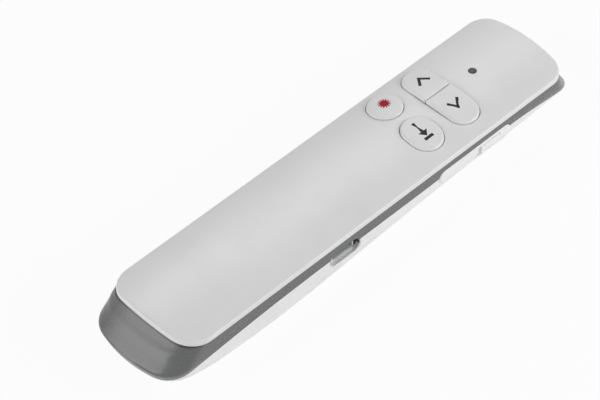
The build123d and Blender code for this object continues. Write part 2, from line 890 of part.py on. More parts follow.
# Metal shell of the USB socket, hanging under the board
usb_plane = Plane.XZ.offset(inner_half_width + usb_recess_floor)
with BuildPart() as usb_shell:
    with BuildSketch(usb_plane):
        with Locations(usb_place):
            RectangleRounded(usb_width, usb_height, usb_corner)
    extrude(amount=-usb_length)
    with BuildSketch(usb_plane):
        with Locations(usb_place):
            RectangleRounded(usb_width - 2 * usb_metal, usb_height - 2 * usb_metal, usb_corner - usb_metal)
    extrude(amount=usb_metal - usb_length, mode=Mode.SUBTRACT)
save(usb_shell.part, "usb_shell")

# Tongue of the USB socket
tongue_z = usb_place[1] + usb_tongue_thickness / 2
with BuildPart() as usb_tongue:
    with BuildSketch(usb_plane.offset(-usb_tongue_setback)):
        with Locations((usb_place[0], tongue_z)):
            Rectangle(usb_tongue_width, usb_tongue_thickness)
    extrude(amount=usb_tongue_setback + usb_metal - usb_length)
save(usb_tongue.part, "usb_tongue")

# Contacts under the tongue
contact_spread = [
    usb_place[0] + (number - (usb_contact_count - 1) / 2) * usb_contact_pitch
    for number in range(usb_contact_count)
]
contact_z = tongue_z - (usb_tongue_thickness + usb_contact_thickness) / 2
with BuildPart() as usb_contacts:
    with BuildSketch(usb_plane.offset(-2 * usb_tongue_setback)):
        with Locations(*[(place, contact_z) for place in contact_spread]):
            Rectangle(usb_contact_width, usb_contact_thickness)
    extrude(amount=2 * usb_tongue_setback + usb_metal - usb_length)
save(usb_contacts.part, "usb_contacts")

# Body of the power slide switch, hanging under the board
slide_body_x = at_x((slide_body_tail_x + slide_body_nose_x) / 2)
slide_front = board_half_width - slide_body_front_gap
slider_middle = at_x((slider_tail_x + slider_nose_x) / 2)
channel_length = slide_lever_length + slider_travel + 2 * slide_channel_play
with BuildPart() as slide_switch_body:
    with BuildSketch(Plane.XZ.offset(slide_front)):
        with Locations((slide_body_x, board_bottom - slide_body_height / 2)):
            Rectangle(slide_body_nose_x - slide_body_tail_x, slide_body_height)
    extrude(amount=-slide_body_depth)
    with BuildSketch(Plane.XZ.offset(slide_front)):
        with Locations((slider_middle - slider_travel / 2, land_place[1])):
            Rectangle(channel_length, slide_channel_height)
    extrude(amount=-slide_channel_depth, mode=Mode.SUBTRACT)
save(slide_switch_body.part, "slide_switch_body")

# Power slider: the knob that shows in the slot, with a flange behind the wall
slider_face = wall_half_width + land_rise + slider_rise
flange_front = inner_half_width - slider_flange_gap
flange_back = flange_front - slider_flange_thickness
with BuildPart() as power_slider:
    with BuildSketch(Plane.XZ.offset(slider_face)):
        with Locations((slider_middle, land_place[1])):
            Rectangle(slider_nose_x - slider_tail_x, slot_height - 2 * slider_gap)
    extrude(amount=flange_front - slider_face)
    front = power_slider.faces().sort_by(Axis.Y)[0]
    fillet(front.edges(), radius=slider_edge_radius)
    with BuildSketch(Plane.XZ.offset(flange_front)):
        with Locations((slider_middle, land_place[1])):
            Rectangle(
                slider_nose_x - slider_tail_x + 2 * slider_flange_reach,
                slot_height + 2 * slider_flange_reach,
            )
    extrude(amount=flange_back - flange_front)
    with BuildSketch(Plane.XZ.offset(flange_back)):
        with Locations((slider_middle, land_place[1])):
            Rectangle(slide_lever_length + 2 * slide_lever_play, slide_lever_height + 2 * slide_lever_play)
    extrude(amount=2 * slider_flange_thickness, mode=Mode.SUBTRACT)
save(power_slider.part, "power_slider")

# Lever of the slide switch, caught in the slider
lever_back = slide_front - slide_lever_inset
lever_front = flange_back + slider_flange_thickness
with BuildPart() as slide_switch_lever:
    with BuildSketch(Plane.XZ.offset(lever_back)):
        with Locations((slider_middle, land_place[1])):
            Rectangle(slide_lever_length, slide_lever_height)
    extrude(amount=lever_front - lever_back)
save(slide_switch_lever.part, "slide_switch_lever")

# Foam tape, cell, guard board and leads of the battery
tape_bottom = bay_height + bay_wall
cell_bottom = tape_bottom + tape_thickness
cell_middle = at_x(battery_tail_x + battery_length / 2)
cell_end = at_x(battery_tail_x + battery_length)
with BuildPart() as battery_tape:
    with BuildSketch(Plane.XY.offset(tape_bottom)):
        with Locations((at_x(bay_x), 0)):
            Rectangle(bay_length - 2 * tape_inset, bay_width - 2 * tape_inset)
    extrude(amount=tape_thickness)
save(battery_tape.part, "battery_tape")
with BuildPart() as battery_cell:
    with BuildSketch(Plane.XY.offset(cell_bottom)):
        with Locations((cell_middle, 0)):
            Rectangle(battery_length, battery_width)
    extrude(amount=battery_thickness)
    fillet(battery_cell.edges().filter_by(Axis.X), radius=battery_edge_radius)
save(battery_cell.part, "battery_cell")
with BuildPart() as guard_board:
    with BuildSketch(Plane.YZ.offset(cell_end)):
        with Locations((0, cell_bottom + battery_thickness / 2)):
            Rectangle(guard_board_width, guard_board_height)
    extrude(amount=guard_board_thickness)
save(guard_board.part, "guard_board")
lead_start_x = cell_end + guard_board_thickness
lead_z = cell_bottom + battery_thickness / 2 + lead_diameter
lead_end_x = at_x(board_tail_x) + 2 * lead_diameter
lead_end_z = board_top + lead_diameter / 2
lead_run = lead_end_x - lead_start_x
with BuildPart() as battery_leads:
    for side in (-1, 1):
        lead_y = side * lead_spread
        with BuildLine():
            FilletPolyline(
                (lead_start_x, lead_y, lead_z),
                (lead_start_x + lead_bend_shares[0] * lead_run, lead_y, lead_z),
                (lead_start_x + lead_bend_shares[1] * lead_run, lead_y, lead_end_z),
                (lead_end_x, lead_y, lead_end_z),
                radius=lead_bend_radius,
            )
        with BuildSketch(Plane.YZ.offset(lead_start_x)):
            with Locations((lead_y, lead_z)):
                Circle(lead_diameter / 2)
        sweep()
save(battery_leads.part, "battery_leads")

# Laser barrel with a stepped bore and a gripping groove
barrel_tail = at_x(barrel_tail_x)
barrel_nose = at_x(barrel_tail_x + barrel_length)
with BuildPart() as laser_barrel:
    with BuildSketch(Plane.YZ.offset(barrel_tail)):
        with Locations((0, laser_z)):
            Circle(barrel_diameter / 2)
            Circle(barrel_bore / 2, mode=Mode.SUBTRACT)
    extrude(amount=barrel_length)
    with BuildSketch(Plane.YZ.offset(barrel_nose)):
        with Locations((0, laser_z)):
            Circle(barrel_diameter / 2)
            Circle(barrel_nose_bore / 2, mode=Mode.SUBTRACT)
    extrude(amount=-barrel_nose_wall)
    with BuildSketch(Plane.YZ.offset(barrel_tail + barrel_length / 2)):
        with Locations((0, laser_z)):
            Circle(barrel_diameter / 2)
            Circle(barrel_diameter / 2 - barrel_groove_depth, mode=Mode.SUBTRACT)
    extrude(amount=barrel_groove_width, mode=Mode.SUBTRACT)
save(laser_barrel.part, "laser_barrel")

# Laser diode in the tail of the barrel
with BuildPart() as laser_diode:
    with BuildSketch(Plane.YZ.offset(barrel_tail)):
        with Locations((0, laser_z)):
            Circle(diode_diameter / 2)
    extrude(amount=diode_flange_length)
    with BuildSketch(Plane.YZ.offset(barrel_tail + diode_flange_length)):
        with Locations((0, laser_z)):
            Circle(diode_can_diameter / 2)
    extrude(amount=diode_length - diode_flange_length)
save(laser_diode.part, "laser_diode")

# Lens behind the nose wall of the barrel, bevelled towards the diode
lens_front = barrel_nose - barrel_nose_wall
with BuildPart() as laser_lens:
    with BuildSketch(Plane.YZ.offset(lens_front)):
        with Locations((0, laser_z)):
            Circle(lens_diameter / 2)
    extrude(amount=-lens_thickness)
    lens_back = laser_lens.faces().sort_by(Axis.X)[0]
    chamfer(lens_back.edges(), length=lens_bevel)
save(laser_lens.part, "laser_lens")

# Driver board of the laser, behind the barrel
with BuildPart() as laser_board:
    with BuildSketch(Plane.YZ.offset(barrel_tail)):
        with Locations((0, laser_z)):
            RectangleRounded(laser_board_size, laser_board_size, passive_width)
    extrude(amount=-laser_board_thickness)
save(laser_board.part, "laser_board")

# Leads from the main board to the laser board
laser_lead_x = at_x(board_nose_x) - 2 * lead_diameter
with BuildPart() as laser_leads:
    with BuildSketch(Plane.YZ.offset(laser_lead_x)):
        with Locations((-lead_diameter, lead_end_z), (lead_diameter, lead_end_z)):
            Circle(lead_diameter / 2)
    extrude(amount=barrel_tail - laser_board_thickness - laser_lead_x)
save(laser_leads.part, "laser_leads")

# Ring around the laser opening, seated from inside the nose wall
with BuildPart() as nose_block:
    with BuildSketch(bezel_plane):
        with Locations((0, laser_z)):
            Circle(bezel_diameter / 2)
    extrude(amount=2 * cradle_pitch)
with BuildPart() as laser_bezel:
    add(nose_block.part & outer_body)
    with BuildSketch(bezel_plane):
        with Locations((0, laser_z)):
            Circle(bezel_diameter / 2)
    extrude(amount=cradle_pitch - bezel_seat_inset, mode=Mode.SUBTRACT)
    with BuildSketch(Plane.YZ.offset(bezel_back - bezel_flange_thickness)):
        with Locations((0, laser_z)):
            Circle(bezel_flange / 2)
    extrude(amount=bezel_flange_thickness)
    with BuildSketch(Plane.YZ.offset(bezel_back - bezel_flange_thickness)):
        with Locations((0, laser_z)):
            Circle(bezel_bore / 2)
    extrude(amount=2 * cradle_pitch, mode=Mode.SUBTRACT)
save(laser_bezel.part, "laser_bezel")

# Clear window inside the ring
with BuildPart() as laser_window:
    with BuildSketch(Plane.YZ.offset(bezel_back + window_setback)):
        with Locations((0, laser_z)):
            Circle(bezel_bore / 2)
    extrude(amount=window_thickness)
save(laser_window.part, "laser_window")

# Four screws from the underside into the posts of the cover
head_bottom = screw_recess_height - screw_head_height
with BuildPart() as shell_screws:
    with BuildSketch(Plane.XY.offset(head_bottom)):
        with Locations(*screw_places):
            Circle(screw_head / 2)
    extrude(amount=screw_head_height)
    with BuildSketch(Plane.XY.offset(head_bottom)):
        with Locations(*screw_places):
            Circle(screw_shank / 2)
    extrude(amount=screw_tip_height - head_bottom)
    with BuildSketch(Plane.XY.offset(head_bottom)):
        with Locations(*screw_places):
            Rectangle(screw_cross_length, screw_cross_width)
            Rectangle(screw_cross_width, screw_cross_length)
    extrude(amount=screw_cross_depth, mode=Mode.SUBTRACT)
save(shell_screws.part, "shell_screws")

# Receiver that rides in the bay: cap, plug shell, tongue and contacts
receiver_tail = at_x(bay_x) - receiver_length / 2
receiver_z = receiver_sink + receiver_height / 2
plug_start = receiver_tail + receiver_cap_length
with BuildPart() as receiver_cap:
    with BuildSketch(Plane.YZ.offset(receiver_tail)):
        with Locations((0, receiver_z)):
            RectangleRounded(receiver_width, receiver_height, receiver_corner)
    extrude(amount=receiver_cap_length)
    end_face = receiver_cap.faces().sort_by(Axis.X)[0]
    chamfer(end_face.edges(), length=receiver_edge_bevel)
    with BuildSketch(Plane.YZ.offset(plug_start)):
        with Locations((0, receiver_z)):
            Rectangle(plug_width, plug_height)
    extrude(amount=-plug_root, mode=Mode.SUBTRACT)
save(receiver_cap.part, "receiver_cap")
plug_tail = plug_start - plug_root
with BuildPart() as receiver_plug:
    with BuildSketch(Plane.YZ.offset(plug_tail)):
        with Locations((0, receiver_z)):
            Rectangle(plug_width, plug_height)
    extrude(amount=plug_root + plug_length)
    with BuildSketch(Plane.YZ.offset(plug_tail + plug_metal)):
        with Locations((0, receiver_z)):
            Rectangle(plug_width - 2 * plug_metal, plug_height - 2 * plug_metal)
    extrude(amount=plug_root + plug_length, mode=Mode.SUBTRACT)
    window_x = plug_start + plug_length - plug_window_setback
    with BuildSketch(Plane.XY.offset(0)):
        with Locations((window_x, plug_window_spread), (window_x, -plug_window_spread)):
            Rectangle(plug_window, plug_window)
    extrude(amount=receiver_height + 2 * receiver_sink, mode=Mode.SUBTRACT)
save(receiver_plug.part, "receiver_plug")
plug_end = plug_start + plug_length
plug_inner_bottom = receiver_z - plug_height / 2 + plug_metal
with BuildPart() as receiver_tongue:
    with BuildSketch(Plane.YZ.offset(plug_tail + plug_metal)):
        with Locations((0, plug_inner_bottom + plug_tongue_thickness / 2)):
            Rectangle(plug_tongue_width, plug_tongue_thickness)
    extrude(amount=plug_end - plug_tongue_setback - plug_tail - plug_metal)
save(receiver_tongue.part, "receiver_tongue")
contact_x = plug_end - plug_window - plug_contact_length / 2
contact_places = [
    (contact_x, (number - (plug_contact_count - 1) / 2) * plug_contact_pitch)
    for number in range(plug_contact_count)
]
with BuildPart() as receiver_contacts:
    with BuildSketch(Plane.XY.offset(plug_inner_bottom + plug_tongue_thickness)):
        with Locations(*contact_places):
            Rectangle(plug_contact_length, plug_contact_width)
    extrude(amount=plug_contact_thickness)
save(receiver_contacts.part, "receiver_contacts")
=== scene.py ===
"""Looks of a laser pointer for slide shows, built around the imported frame.

Sizes are in millimetres, as on the maker's drawing, and every mesh is scaled to metres when it is made.
+X runs to the laser in the nose, +Y to the side without controls, +Z up, and the underside lies at Z = 0.
"""

import logging
import math
from collections.abc import Callable
from dataclasses import dataclass
from enum import Enum

import bmesh
import bpy
import numpy as np
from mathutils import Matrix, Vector
from mathutils.geometry import delaunay_2d_cdt


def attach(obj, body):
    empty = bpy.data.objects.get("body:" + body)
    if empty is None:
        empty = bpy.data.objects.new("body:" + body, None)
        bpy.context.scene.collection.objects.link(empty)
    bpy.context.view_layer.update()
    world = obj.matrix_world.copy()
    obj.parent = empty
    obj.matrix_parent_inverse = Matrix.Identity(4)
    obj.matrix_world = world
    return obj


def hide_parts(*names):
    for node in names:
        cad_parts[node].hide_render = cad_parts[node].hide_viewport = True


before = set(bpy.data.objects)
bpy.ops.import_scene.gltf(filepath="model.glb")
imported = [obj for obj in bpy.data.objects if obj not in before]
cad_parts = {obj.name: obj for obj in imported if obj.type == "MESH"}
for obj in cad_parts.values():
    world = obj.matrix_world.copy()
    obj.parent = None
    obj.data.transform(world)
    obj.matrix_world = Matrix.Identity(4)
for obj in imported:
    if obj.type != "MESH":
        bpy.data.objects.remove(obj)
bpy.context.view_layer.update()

Tree = bpy.types.NodeTree
Socket = bpy.types.NodeSocket
Material = bpy.types.Material
Piece = bpy.types.Object
Points = np.ndarray

MM = 0.001
QUARTER = math.pi / 2
WHITE = (1.0, 1.0, 1.0, 1.0)
SRGB_KNEE, SRGB_SLOPE, SRGB_SHIFT, SRGB_POWER = 0.04045, 12.92, 0.055, 2.4
TONE_START, TONE_END = 0.35, 0.65
SHARP_ANGLE, CUT_SHARP_ANGLE = 32.0, 28.0
WELD, SLIVER = 0.002, 0.001
NORMAL_WEIGHT = 70
TINY, SNAP = 1e-12, 1e-7
# How far cutters stand out of the surface that they open.
OVERCUT = 1.0
log = logging.getLogger("laser_pointer")


class Body(Enum):
    """Bodies of the frame that pieces ride on."""

    CASE = "case"
    PREVIOUS = "previous_button"
    NEXT = "next_button"
    LASER = "laser_button"
    TAB = "tab_button"
    POWER = "power_switch"


class Joining(Enum):
    """Ways to join a piece with others."""

    ADD = "UNION"
    CUT = "DIFFERENCE"
    KEEP = "INTERSECT"


def linear(hex_colour: str) -> tuple[float, float, float, float]:
    """Turn an sRGB hex colour into the linear colour that a shader takes.

    Args:
        hex_colour: Six hex digits after a hash, such as "#d8d8d6".

    Returns:
        Linear red, green and blue, and an alpha of 1.
    """
    channels = [int(hex_colour[start : start + 2], 16) / 255 for start in (1, 3, 5)]
    curve = [((c + SRGB_SHIFT) / (1 + SRGB_SHIFT)) ** SRGB_POWER for c in channels]
    bent = [c / SRGB_SLOPE if c <= SRGB_KNEE else high for c, high in zip(channels, curve)]
    return (bent[0], bent[1], bent[2], 1.0)


def add_node(
    tree: Tree,
    kind: str,
    values: dict | None = None,
    links: dict | None = None,
    stops: tuple = (),
    **settings: object,
) -> bpy.types.Node:
    """Add one node with its settings, its socket values and the links into it.

    Args:
        tree: The node tree that gets the node.
        kind: Blender's name of the node type.
        values: Value of each named or numbered input socket.
        links: Output socket that feeds each named or numbered input socket.
        stops: Place and hex colour of each stop, for a node with a colour ramp.
        **settings: Properties of the node itself.

    Returns:
        The new node.
    """
    node = tree.nodes.new(kind)
    for name, value in settings.items():
        setattr(node, name, value)
    for name, value in (values or {}).items():
        node.inputs[name].default_value = value
    for name, source in (links or {}).items():
        tree.links.new(source, node.inputs[name])
    for number, (place, colour) in enumerate(stops):
        element = node.color_ramp.elements[number]
        element.position, element.color = place, linear(colour)
    return node


def new_material(name: str) -> tuple[Material, Tree]:
    """Make an empty node material.

    Args:
        name: Name of the material.

    Returns:
        The material and its node tree.
    """
    material = bpy.data.materials.new(name)
    material.use_nodes = True
    material.node_tree.nodes.clear()
    return material, material.node_tree


def seen_straight(tree: Tree) -> Socket:
    """Add a switch for the rays of the camera, of gloss and through glass.

    Args:
        tree: The tree that gets the switch.

    Returns:
        The socket that is 1 for those rays and 0 for the light on the object.
    """
    path = add_node(tree, "ShaderNodeLightPath")
    seen = path.outputs["Is Camera Ray"]
    for ray in ("Is Glossy Ray", "Is Transmission Ray"):
        links = {0: seen, 1: path.outputs[ray]}
        seen = add_node(tree, "ShaderNodeMath", links=links, operation="MAXIMUM").outputs["Value"]
    return seen


@dataclass(frozen=True)
class Finish:
    """What each finish has: the two tones of its pattern, its mean gloss and how far that varies."""

    name: str
    dark: str
    light: str
    roughness: float
    smoother: float = 0.08
    rougher: float = 0.08

    def with_painted_shade(self, tree: Tree, colour: Socket) -> Socket:
        """Leave the colour without painted shade, as it is on most finishes."""
        return colour

    def shaded(
        self, material: Material, values: dict, clouds: Socket, grain: Socket, depth: float
    ) -> Material:
        """Give the material its two tones, its gloss, its relief and its main shader.

        Args:
            material: The material.
            values: Values of the shader's own sockets.
            clouds: Pattern that the tones follow.
            grain: Pattern that the gloss and the relief follow.
            depth: Depth of the relief in millimetres, or 0 for none.

        Returns:
            The material.
        """
        tree = material.node_tree
        stops = ((TONE_START, self.dark), (TONE_END, self.light))
        tones = add_node(tree, "ShaderNodeValToRGB", links={"Fac": clouds}, stops=stops)
        limits = {"To Min": self.roughness - self.smoother, "To Max": self.roughness + self.rougher}
        gloss = add_node(tree, "ShaderNodeMapRange", limits, {"Value": grain})
        links = {"Base Color": self.with_painted_shade(tree, tones.outputs["Color"]), "Roughness": gloss.outputs["Result"]}
        if depth:
            relief = {"Strength": 1.0, "Distance": depth * MM}
            bump = add_node(tree, "ShaderNodeBump", relief, {"Height": grain})
            links["Normal"] = bump.outputs["Normal"]
        shader = add_node(tree, "ShaderNodeBsdfPrincipled", values, links)
        add_node(tree, "ShaderNodeOutputMaterial", links={"Surface": shader.outputs["BSDF"]})
        return material


@dataclass(frozen=True)
class MouldedPlastic(Finish):
    """Injection moulded plastic whose mould was spark eroded to a fine grain.

    The grain is drawn a few times coarser than the real one, so that it still shows in the picture.
    """

    smoother: float = 0.06
    rougher: float = 0.06
    grain: float = 0.3
    grain_depth: float = 0.003
    grain_detail: float = 3.0
    cloud: float = 14.0
    ior: float = 1.5
    coat: float = 0.0
    coat_roughness: float = 0.12
    # Painted shade: height, fall across the crown, tone and blend of a dark band under the cover's edge.
    shade_line_height: float = 0.0
    shade_line_drop: float = 0.0
    shade_line_tone: float = 0.25
    shade_line_blend: float = 0.15

    def with_painted_shade(self, tree: Tree, colour: Socket) -> Socket:
        """Paint a shade line into the colour just under the crowned cover's edge, where the gap's shadow
        falls, for finishes that have one.

        Args:
            tree: Node tree of the material.
            colour: Colour away from the gap.

        Returns:
            The colour with painted shade along the joint under the cover.
        """
        if not self.shade_line_height:
            return colour
        # Painted shade: darken by height just under the cover's crowned edge.
        place = add_node(tree, "ShaderNodeTexCoord").outputs["Object"]
        parts = add_node(tree, "ShaderNodeSeparateXYZ", links={0: place}).outputs
        links = {0: parts["Y"], 1: parts["Y"]}
        squared = add_node(tree, "ShaderNodeMath", links=links, operation="MULTIPLY").outputs["Value"]
        values, links = {1: self.shade_line_drop / MM}, {0: squared, 2: parts["Z"]}
        level = add_node(tree, "ShaderNodeMath", values, links, operation="MULTIPLY_ADD")
        start, finish = (self.shade_line_height - self.shade_line_blend) * MM, self.shade_line_height * MM
        values = {"From Min": start, "From Max": finish, "To Min": 1.0, "To Max": self.shade_line_tone}
        shade = add_node(tree, "ShaderNodeMapRange", values, {"Value": level.outputs["Value"]})
        links = {0: colour, "Scale": shade.outputs["Result"]}
        return add_node(tree, "ShaderNodeVectorMath", links=links, operation="SCALE").outputs["Vector"]

    def make(self) -> Material:
        """Build the material: mould grain in bump and gloss, slow clouds in tone.

        Returns:
            The material.
        """
        material, tree = new_material(self.name)
        links = {"Vector": add_node(tree, "ShaderNodeTexCoord").outputs["Object"]}
        values = {"Scale": 1 / (self.grain * MM), "Detail": self.grain_detail}
        grain = add_node(tree, "ShaderNodeTexNoise", values, links).outputs["Fac"]
        clouds = add_node(tree, "ShaderNodeTexNoise", {"Scale": 1 / (self.cloud * MM)}, links).outputs["Fac"]
        values = {"IOR": self.ior, "Coat Weight": self.coat, "Coat Roughness": self.coat_roughness}
        return self.shaded(material, values, clouds, grain, self.grain_depth)


@dataclass(frozen=True)
class BareMetal(Finish):
    """Rolled, drawn or turned metal with the fine scratches that its making leaves."""

    scratch: float = 0.12
    scratch_depth: float = 0.002
    scratch_detail: float = 4.0
    stretch: tuple[float, float, float] = (1.0, 1.0, 1.0)

    def make(self) -> Material:
        """Build the material: scratches drawn out along one axis in gloss, tone and bump.

        Returns:
            The material.
        """
        material, tree = new_material(self.name)
        links = {"Vector": add_node(tree, "ShaderNodeTexCoord").outputs["Object"]}
        drawn = add_node(tree, "ShaderNodeMapping", {"Scale": self.stretch}, links)
        links = {"Vector": drawn.outputs["Vector"]}
        values = {"Scale": 1 / (self.scratch * MM), "Detail": self.scratch_detail}
        scratches = add_node(tree, "ShaderNodeTexNoise", values, links).outputs["Fac"]
        return self.shaded(material, {"Metallic": 1.0}, scratches, scratches, self.scratch_depth)


@dataclass(frozen=True)
class ClearPlastic(Finish):
    """Clear or smoked plastic, polished in the mould, with faint flow lines."""

    smoother: float = 0.0
    rougher: float = 0.06
    clearness: float = 0.9
    ior: float = 1.49
    flow: float = 1.2

    def make(self) -> Material:
        """Build the material: light passes through, tinted by slow flow lines.

        Returns:
            The material.
        """
        material, tree = new_material(self.name)
        links = {"Vector": add_node(tree, "ShaderNodeTexCoord").outputs["Object"]}
        flow = add_node(tree, "ShaderNodeTexNoise", {"Scale": 1 / (self.flow * MM)}, links).outputs["Fac"]
        values = {"IOR": self.ior, "Transmission Weight": self.clearness}
        return self.shaded(material, values, flow, flow, 0.0)


@dataclass(frozen=True)
class GlassFibreBoard(Finish):
    """Glass fibre laminate under solder mask, with the weave just showing."""

    smoother: float = 0.05
    ior: float = 1.55
    thread: float = 0.5
    waver: float = 0.4
    weave_depth: float = 0.004

    def make(self) -> Material:
        """Build the material: two crossed waves make the weave of the cloth.

        Returns:
            The material.
        """
        material, tree = new_material(self.name)
        values = {"Scale": 1 / (2 * math.pi * self.thread * MM), "Distortion": self.waver}
        links = {"Vector": add_node(tree, "ShaderNodeTexCoord").outputs["Object"]}
        threads = [
            add_node(tree, "ShaderNodeTexWave", values, links, bands_direction=direction).outputs["Fac"]
            for direction in ("X", "Y")
        ]
        crossed = add_node(tree, "ShaderNodeMath", links=dict(enumerate(threads)), operation="MULTIPLY")
        weave = crossed.outputs["Value"]
        return self.shaded(material, {"IOR": self.ior}, weave, weave, self.weave_depth)


@dataclass(frozen=True)
class PrintedInk(Finish):
    """Pad printed ink: matt, even, with a slightly dry grain."""

    roughness: float = 0.8
    ior: float = 1.48
    grain: float = 0.08
    grain_depth: float = 0.001

    def make(self) -> Material:
        """Build the material: a dry grain in tone and gloss.

        Returns:
            The material.
        """
        material, tree = new_material(self.name)
        links = {"Vector": add_node(tree, "ShaderNodeTexCoord").outputs["Object"]}
        grain = add_node(tree, "ShaderNodeTexNoise", {"Scale": 1 / (self.grain * MM)}, links).outputs["Fac"]
        return self.shaded(material, {"IOR": self.ior}, grain, grain, self.grain_depth)


# Pale dull ABS that lines the socket's recess: the shell's white plastic set a little darker than the shell,
# as painted shade in the recess on top of the real shade there.
SHADED_LINER_ABS = MouldedPlastic("shaded_abs_liner", "#d6d7d7", "#dcdddd", 0.5)
# Near black pad print of the key signs, matt on the satin keys.
BLACK_INK = PrintedInk("black_pad_print", "#070708", "#0d0d0e")
# Red pad print of the burst on the laser key.
RED_INK = PrintedInk("red_pad_print", "#98020f", "#a20614")

# What the pieces of each slot of the record wear.
SLOT_FINISHES = {
    # Satin ABS: a soft broad sheen and no clear reflection.
    "cover_white": MouldedPlastic("satin_abs_cover", "#e3e3e3", "#e7e7e7", 0.3),
    # The same ABS on the keys, a little duller, so that they show against the cover.
    "key_white": MouldedPlastic("satin_abs_keys", "#e4e4e4", "#e8e8e8", 0.38),
    # ABS coloured grey in the mass, smoother: an even dark grey that shows where the lamps end, with a
    # painted shade line under the cover's edge, where the gap's shadow falls.
    "frame_grey": MouldedPlastic(
        "satin_abs_frame", "#5c5c5d", "#606162", 0.28, ior=1.54, shade_line_height=13.1, shade_line_drop=0.00727
    ),
    # White ABS of the lower shell: brighter and a little duller than the cover.
    "shell_white": MouldedPlastic("white_abs_shell", "#efefef", "#f3f3f3", 0.4),
    # Off-white ABS of the receiver's cap, with the same fine grain.
    "receiver_white": MouldedPlastic("white_abs_receiver", "#e6e6e5", "#ebebea", 0.4),
    # Black nylon of the switch bodies: dull, with a fine grain.
    "switch_black": MouldedPlastic("black_nylon_switches", "#1b1b1c", "#252526", 0.5, grain=0.2),
    # Tan acetal of the plungers: waxy, with a soft gleam.
    "plunger_tan": MouldedPlastic("tan_acetal_plungers", "#b2966a", "#bfa478", 0.35, grain=0.15),
    # Moulded epoxy of the chips: sooty black with a fine dry grain.
    "chip_black": MouldedPlastic("moulded_epoxy_chips", "#16161a", "#212124", 0.6, grain=0.06),
    # Fired ceramic of the small parts: tan and slightly rough.
    "passive_tan": MouldedPlastic("fired_ceramic_parts", "#7d6446", "#917859", 0.5, grain=0.05),
    # Black polymer of the socket's tongue, dull and dark in its hollow.
    "tongue_black": MouldedPlastic("black_polymer_tongue", "#151515", "#1e1e1e", 0.45, grain=0.1),
    # White polymer of the plug's tongue, a touch translucent to the eye.
    "tongue_white": MouldedPlastic("white_polymer_tongue", "#e2e2dd", "#ebebe6", 0.35, grain=0.1),
    # Foam tape: coarse open cells that take the light dully.
    "tape_grey": MouldedPlastic("grey_foam_tape", "#58595b", "#6c6d6f", 0.9, grain=0.5, grain_depth=0.05),
    # Silicone of the leads: smooth red skin with a soft highlight.
    "lead_red": MouldedPlastic("red_silicone_leads", "#84191a", "#982423", 0.42, grain=0.25, ior=1.41),
    # Glossy black ABS of the nose ring, polished in the mould.
    "bezel_black": MouldedPlastic(
        "gloss_abs_ring", "#131314", "#1a1a1b", 0.3, grain=0.2, grain_depth=0.001, coat=0.4
    ),
    # Solder mask over glass cloth: deep green with the weave just showing.
    "board_green": GlassFibreBoard("green_mask_boards", "#0f4a28", "#155a32", 0.35),
    # Drawn nickel silver of the crystal's can: pale, with fine drawing lines.
    "steel_can": BareMetal("drawn_nickel_can", "#b9bbbd", "#cfd1d2", 0.3),
    # Tinned strip of the socket and the plug: pale and dull, with scratches along the strip.
    "steel_socket": BareMetal("tinned_steel_strip", "#c3c5c7", "#dcdedf", 0.72, stretch=(0.15, 1.0, 1.0)),
    # Zinc plated screws: greyer, with turned scratches.
    "screw_steel": BareMetal("zinc_plated_screws", "#8d8f92", "#b2b4b6", 0.36),
    # Gold plated contacts: warm and bright.
    "contact_gold": BareMetal("gold_plated_contacts", "#c3943a", "#e0b65a", 0.24),
    # Aluminium foil pouch of the cell: soft silver with slow dents.
    "pouch_silver": BareMetal(
        "foil_pouch_cell", "#a9abad", "#c3c5c6", 0.42, scratch=1.4, scratch_depth=0.03
    ),
    # Turned brass of the barrel: yellow, with fine rings round its length.
    "barrel_brass": BareMetal("turned_brass_barrel", "#a47d38", "#c39a50", 0.27, stretch=(1.0, 0.1, 0.1)),
    # Water clear epoxy of the lamp, slightly milky.
    "lamp_clear": ClearPlastic("clear_epoxy_lamp", "#eeeee8", "#f8f8f3", 0.2, clearness=0.6),
    # Smoked acrylic of the light pipe: near black until its lamp is lit.
    "pipe_smoke": ClearPlastic("smoked_acrylic_pipe", "#0c0c0d", "#131314", 0.3, clearness=0.1),
    # Moulded lens acrylic: clear and sharp.
    "lens_clear": ClearPlastic("clear_acrylic_lens", "#f2f5f7", "#fafcfd", 0.04),
}


class Palette:
    """Every finish of the pointer, each made once."""

    def __init__(self) -> None:
        """Start with no finish made."""
        self.made: dict[str, Material] = {}

    def get(self, finish: Finish) -> Material:
        """Give the material of a finish.

        Args:
            finish: The finish.

        Returns:
            Its material, the same one each time.
        """
        if finish.name not in self.made:
            self.made[finish.name] = finish.make()
        return self.made[finish.name]

    def of_slot(self, slot: str) -> Material:
        """Give the material of a slot of the record."""
        return self.get(SLOT_FINISHES[slot])


PALETTE = Palette()


